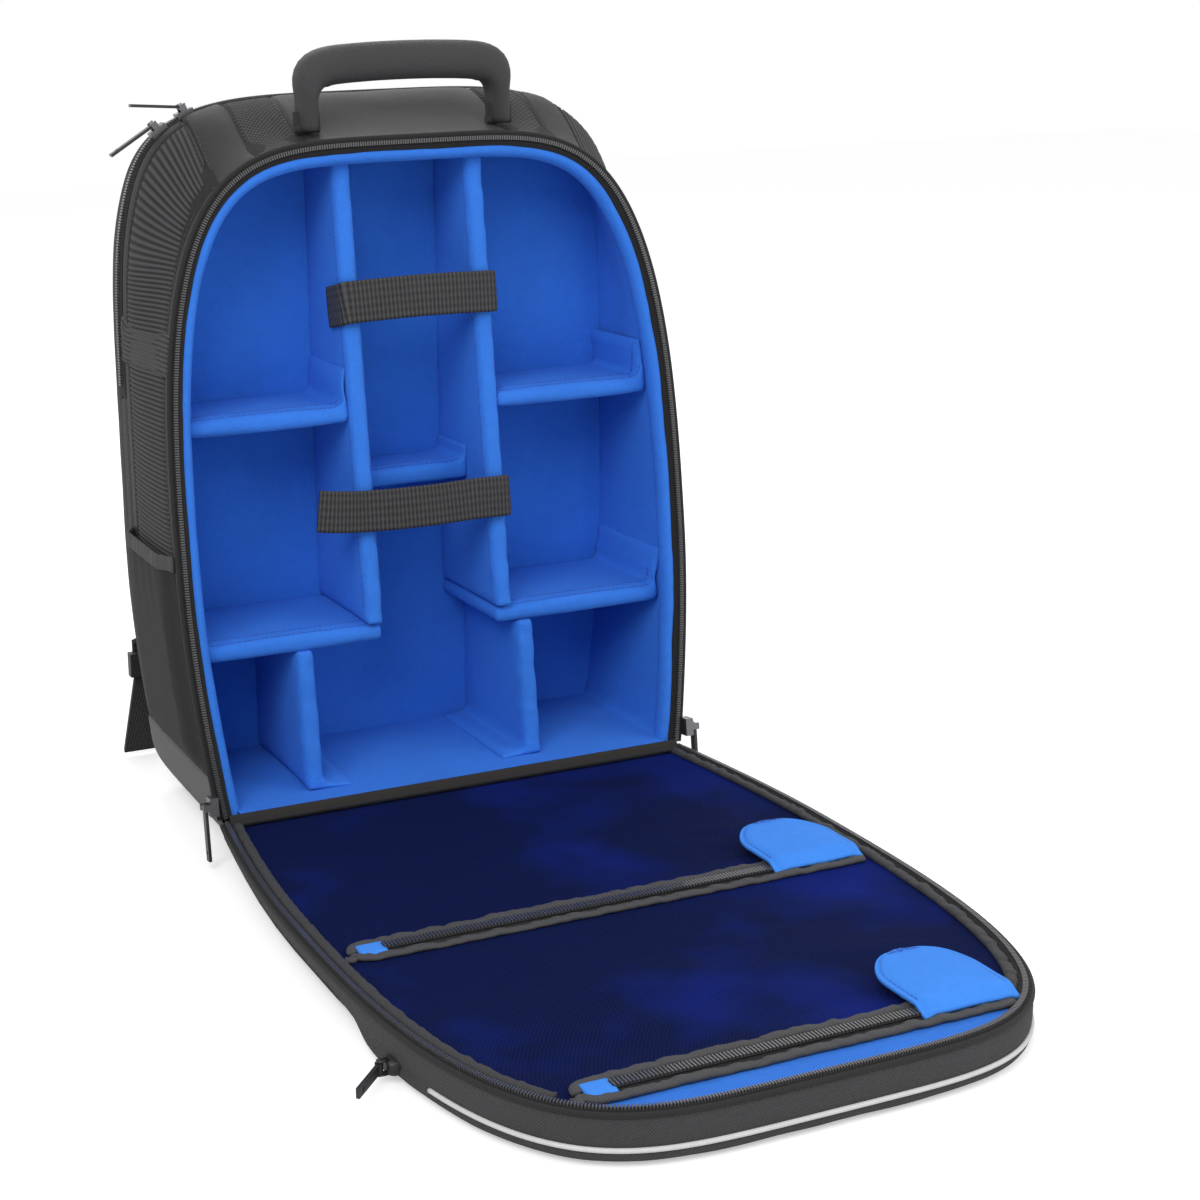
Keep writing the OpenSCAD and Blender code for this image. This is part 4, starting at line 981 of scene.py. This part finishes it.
def divider_stitches(name, body, lines, count=90):
    """Rows of stitches on a divider. lines gives each row's start, end and way in, from its box."""
    box = [[c * 1000 for c in corner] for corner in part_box(name)]
    piece = bpy.data.objects[name + "_cushion"]
    rows = [sewn(piece, start, end, toward, count) for start, end, toward in lines(*box)]
    rows = [row for row in rows if row]
    if rows:
        bits(name.replace("_", " ") + " stitches", rows, BLUE_THREAD, 3.4, (2.3, 0.6, 0.5), body)


def along_front(low, high):
    """Two lines over a shelf, near its front edge, for divider_stitches."""
    return [((low[0] + 4, low[1] + off, high[2] + 20), (high[0] - 4, low[1] + off, high[2] + 20), (0, 0, -1))
            for off in (4.5, 11)]


def down_both_sides(low, high):
    """A line down each face of an upright, near its front edge."""
    lean = (high[2] - low[2]) * math.tan(LEAN)
    return [((x - 20 * way, low[1] + 5, low[2] + 4), (x - 20 * way, low[1] + 5 + lean, high[2] - 4),
             (way, 0, 0)) for x, way in ((low[0], 1), (high[0], -1))]


for name in SHELVES:
    divider_stitches(name, name + "_body", along_front)
for name in UPRIGHTS:
    divider_stitches(name, "body", down_both_sides, 160)


# ---------------------------------------------------------------- floor, lights and camera
WHITE = (1, 1, 1, 1)
FLOOR_HALF, FLOOR_DROP = 6000, -0.6
FRAME_WIDE = 1200


def studio():
    """A white room: bright where it is seen or mirrored, and dimmer as light on the bag."""
    scene = bpy.context.scene
    scene.view_settings.view_transform = "Standard"
    scene.world = bpy.data.worlds.new("studio")
    sky = Cloth("studio", None, scene.world)
    by_eye, by_gloss, by_glass = (sky.node("ShaderNodeLightPath", out=ray) for ray in
                                  ("Is Camera Ray", "Is Glossy Ray", "Is Transmission Ray"))
    seen = by_eye.math("MAXIMUM", by_gloss).math("MAXIMUM", by_glass)
    lit = sky.node("ShaderNodeBackground", inputs={0: WHITE, 1: 0.7})
    shown = sky.node("ShaderNodeBackground", inputs={0: WHITE, 1: 1.0})
    mix = sky.node("ShaderNodeMixShader", inputs={0: seen, 1: lit, 2: shown})
    sky.node("ShaderNodeOutputWorld", inputs={0: mix})

    floor_cloth = Cloth("studio floor", None)
    ray = floor_cloth.node("ShaderNodeLightPath")
    glow = floor_cloth.node("ShaderNodeEmission", inputs={0: WHITE, 1: 0.42})
    paint = floor_cloth.node("ShaderNodeBsdfDiffuse", inputs={0: (0.8, 0.8, 0.8, 1)})
    both = floor_cloth.node("ShaderNodeAddShader", inputs={0: glow, 1: paint})
    floor_cloth.node("ShaderNodeOutputMaterial",
                     inputs={0: floor_cloth.node("ShaderNodeMixShader", inputs={0: ray, 1: paint, 2: both})})
    floor = mesh_of("floor", [(x * FLOOR_HALF, y * FLOOR_HALF, FLOOR_DROP)
                              for x, y in ((-1, -1), (1, -1), (1, 1), (-1, 1))], [[0, 1, 2, 3]])
    floor.data.materials.append(floor_cloth.material)

    for name, place, aim, size, power in (
            ("key", (-1.3, -1.6, 1.9), (0, -0.1, 0.15), 1.4, 36),
            ("fill", (1.8, -1.5, 1.3), (0, -0.1, 0.2), 1.8, 18),
            ("back", (0.4, 1.6, 1.8), (0, 0, 0.3), 1.2, 14)):
        lamp = bpy.data.lights.new(name, "AREA")
        lamp.size, lamp.energy = size, power
        obj = bpy.data.objects.new(name, lamp)
        obj.location = place
        obj.rotation_euler = (Vector(aim) - Vector(place)).to_track_quat("-Z", "Y").to_euler()
        scene.collection.objects.link(obj)


def look():
    """The camera, from its place, its turn and its shift in a frame 1200 wide."""
    place, focal, cx, cy = (-0.47508, -1.12602, 0.46561), 1998.57, 312.75, 505.54
    yaw, pitch, roll = 20.13, 12.87, -2.1
    yaw, pitch, roll = (math.radians(a) for a in (yaw, pitch, roll))
    ahead = Vector((math.sin(yaw) * math.cos(pitch), math.cos(yaw) * math.cos(pitch), -math.sin(pitch)))
    right = Vector((math.cos(yaw), -math.sin(yaw), 0))
    above = right.cross(ahead)
    right, above = (right * math.cos(roll) + above * math.sin(roll),
                    above * math.cos(roll) - right * math.sin(roll))
    data = bpy.data.cameras.new("camera")
    data.sensor_width, data.lens = 36, focal / FRAME_WIDE * 36
    data.shift_x, data.shift_y = 0.5 - cx / FRAME_WIDE, cy / FRAME_WIDE - 0.5
    camera = bpy.data.objects.new("camera", data)
    turn = Matrix((right, above, -ahead)).transposed()
    camera.matrix_world = Matrix.Translation(place) @ turn.to_4x4()
    bpy.context.scene.collection.objects.link(camera)
    bpy.context.scene.camera = camera


studio()
look()
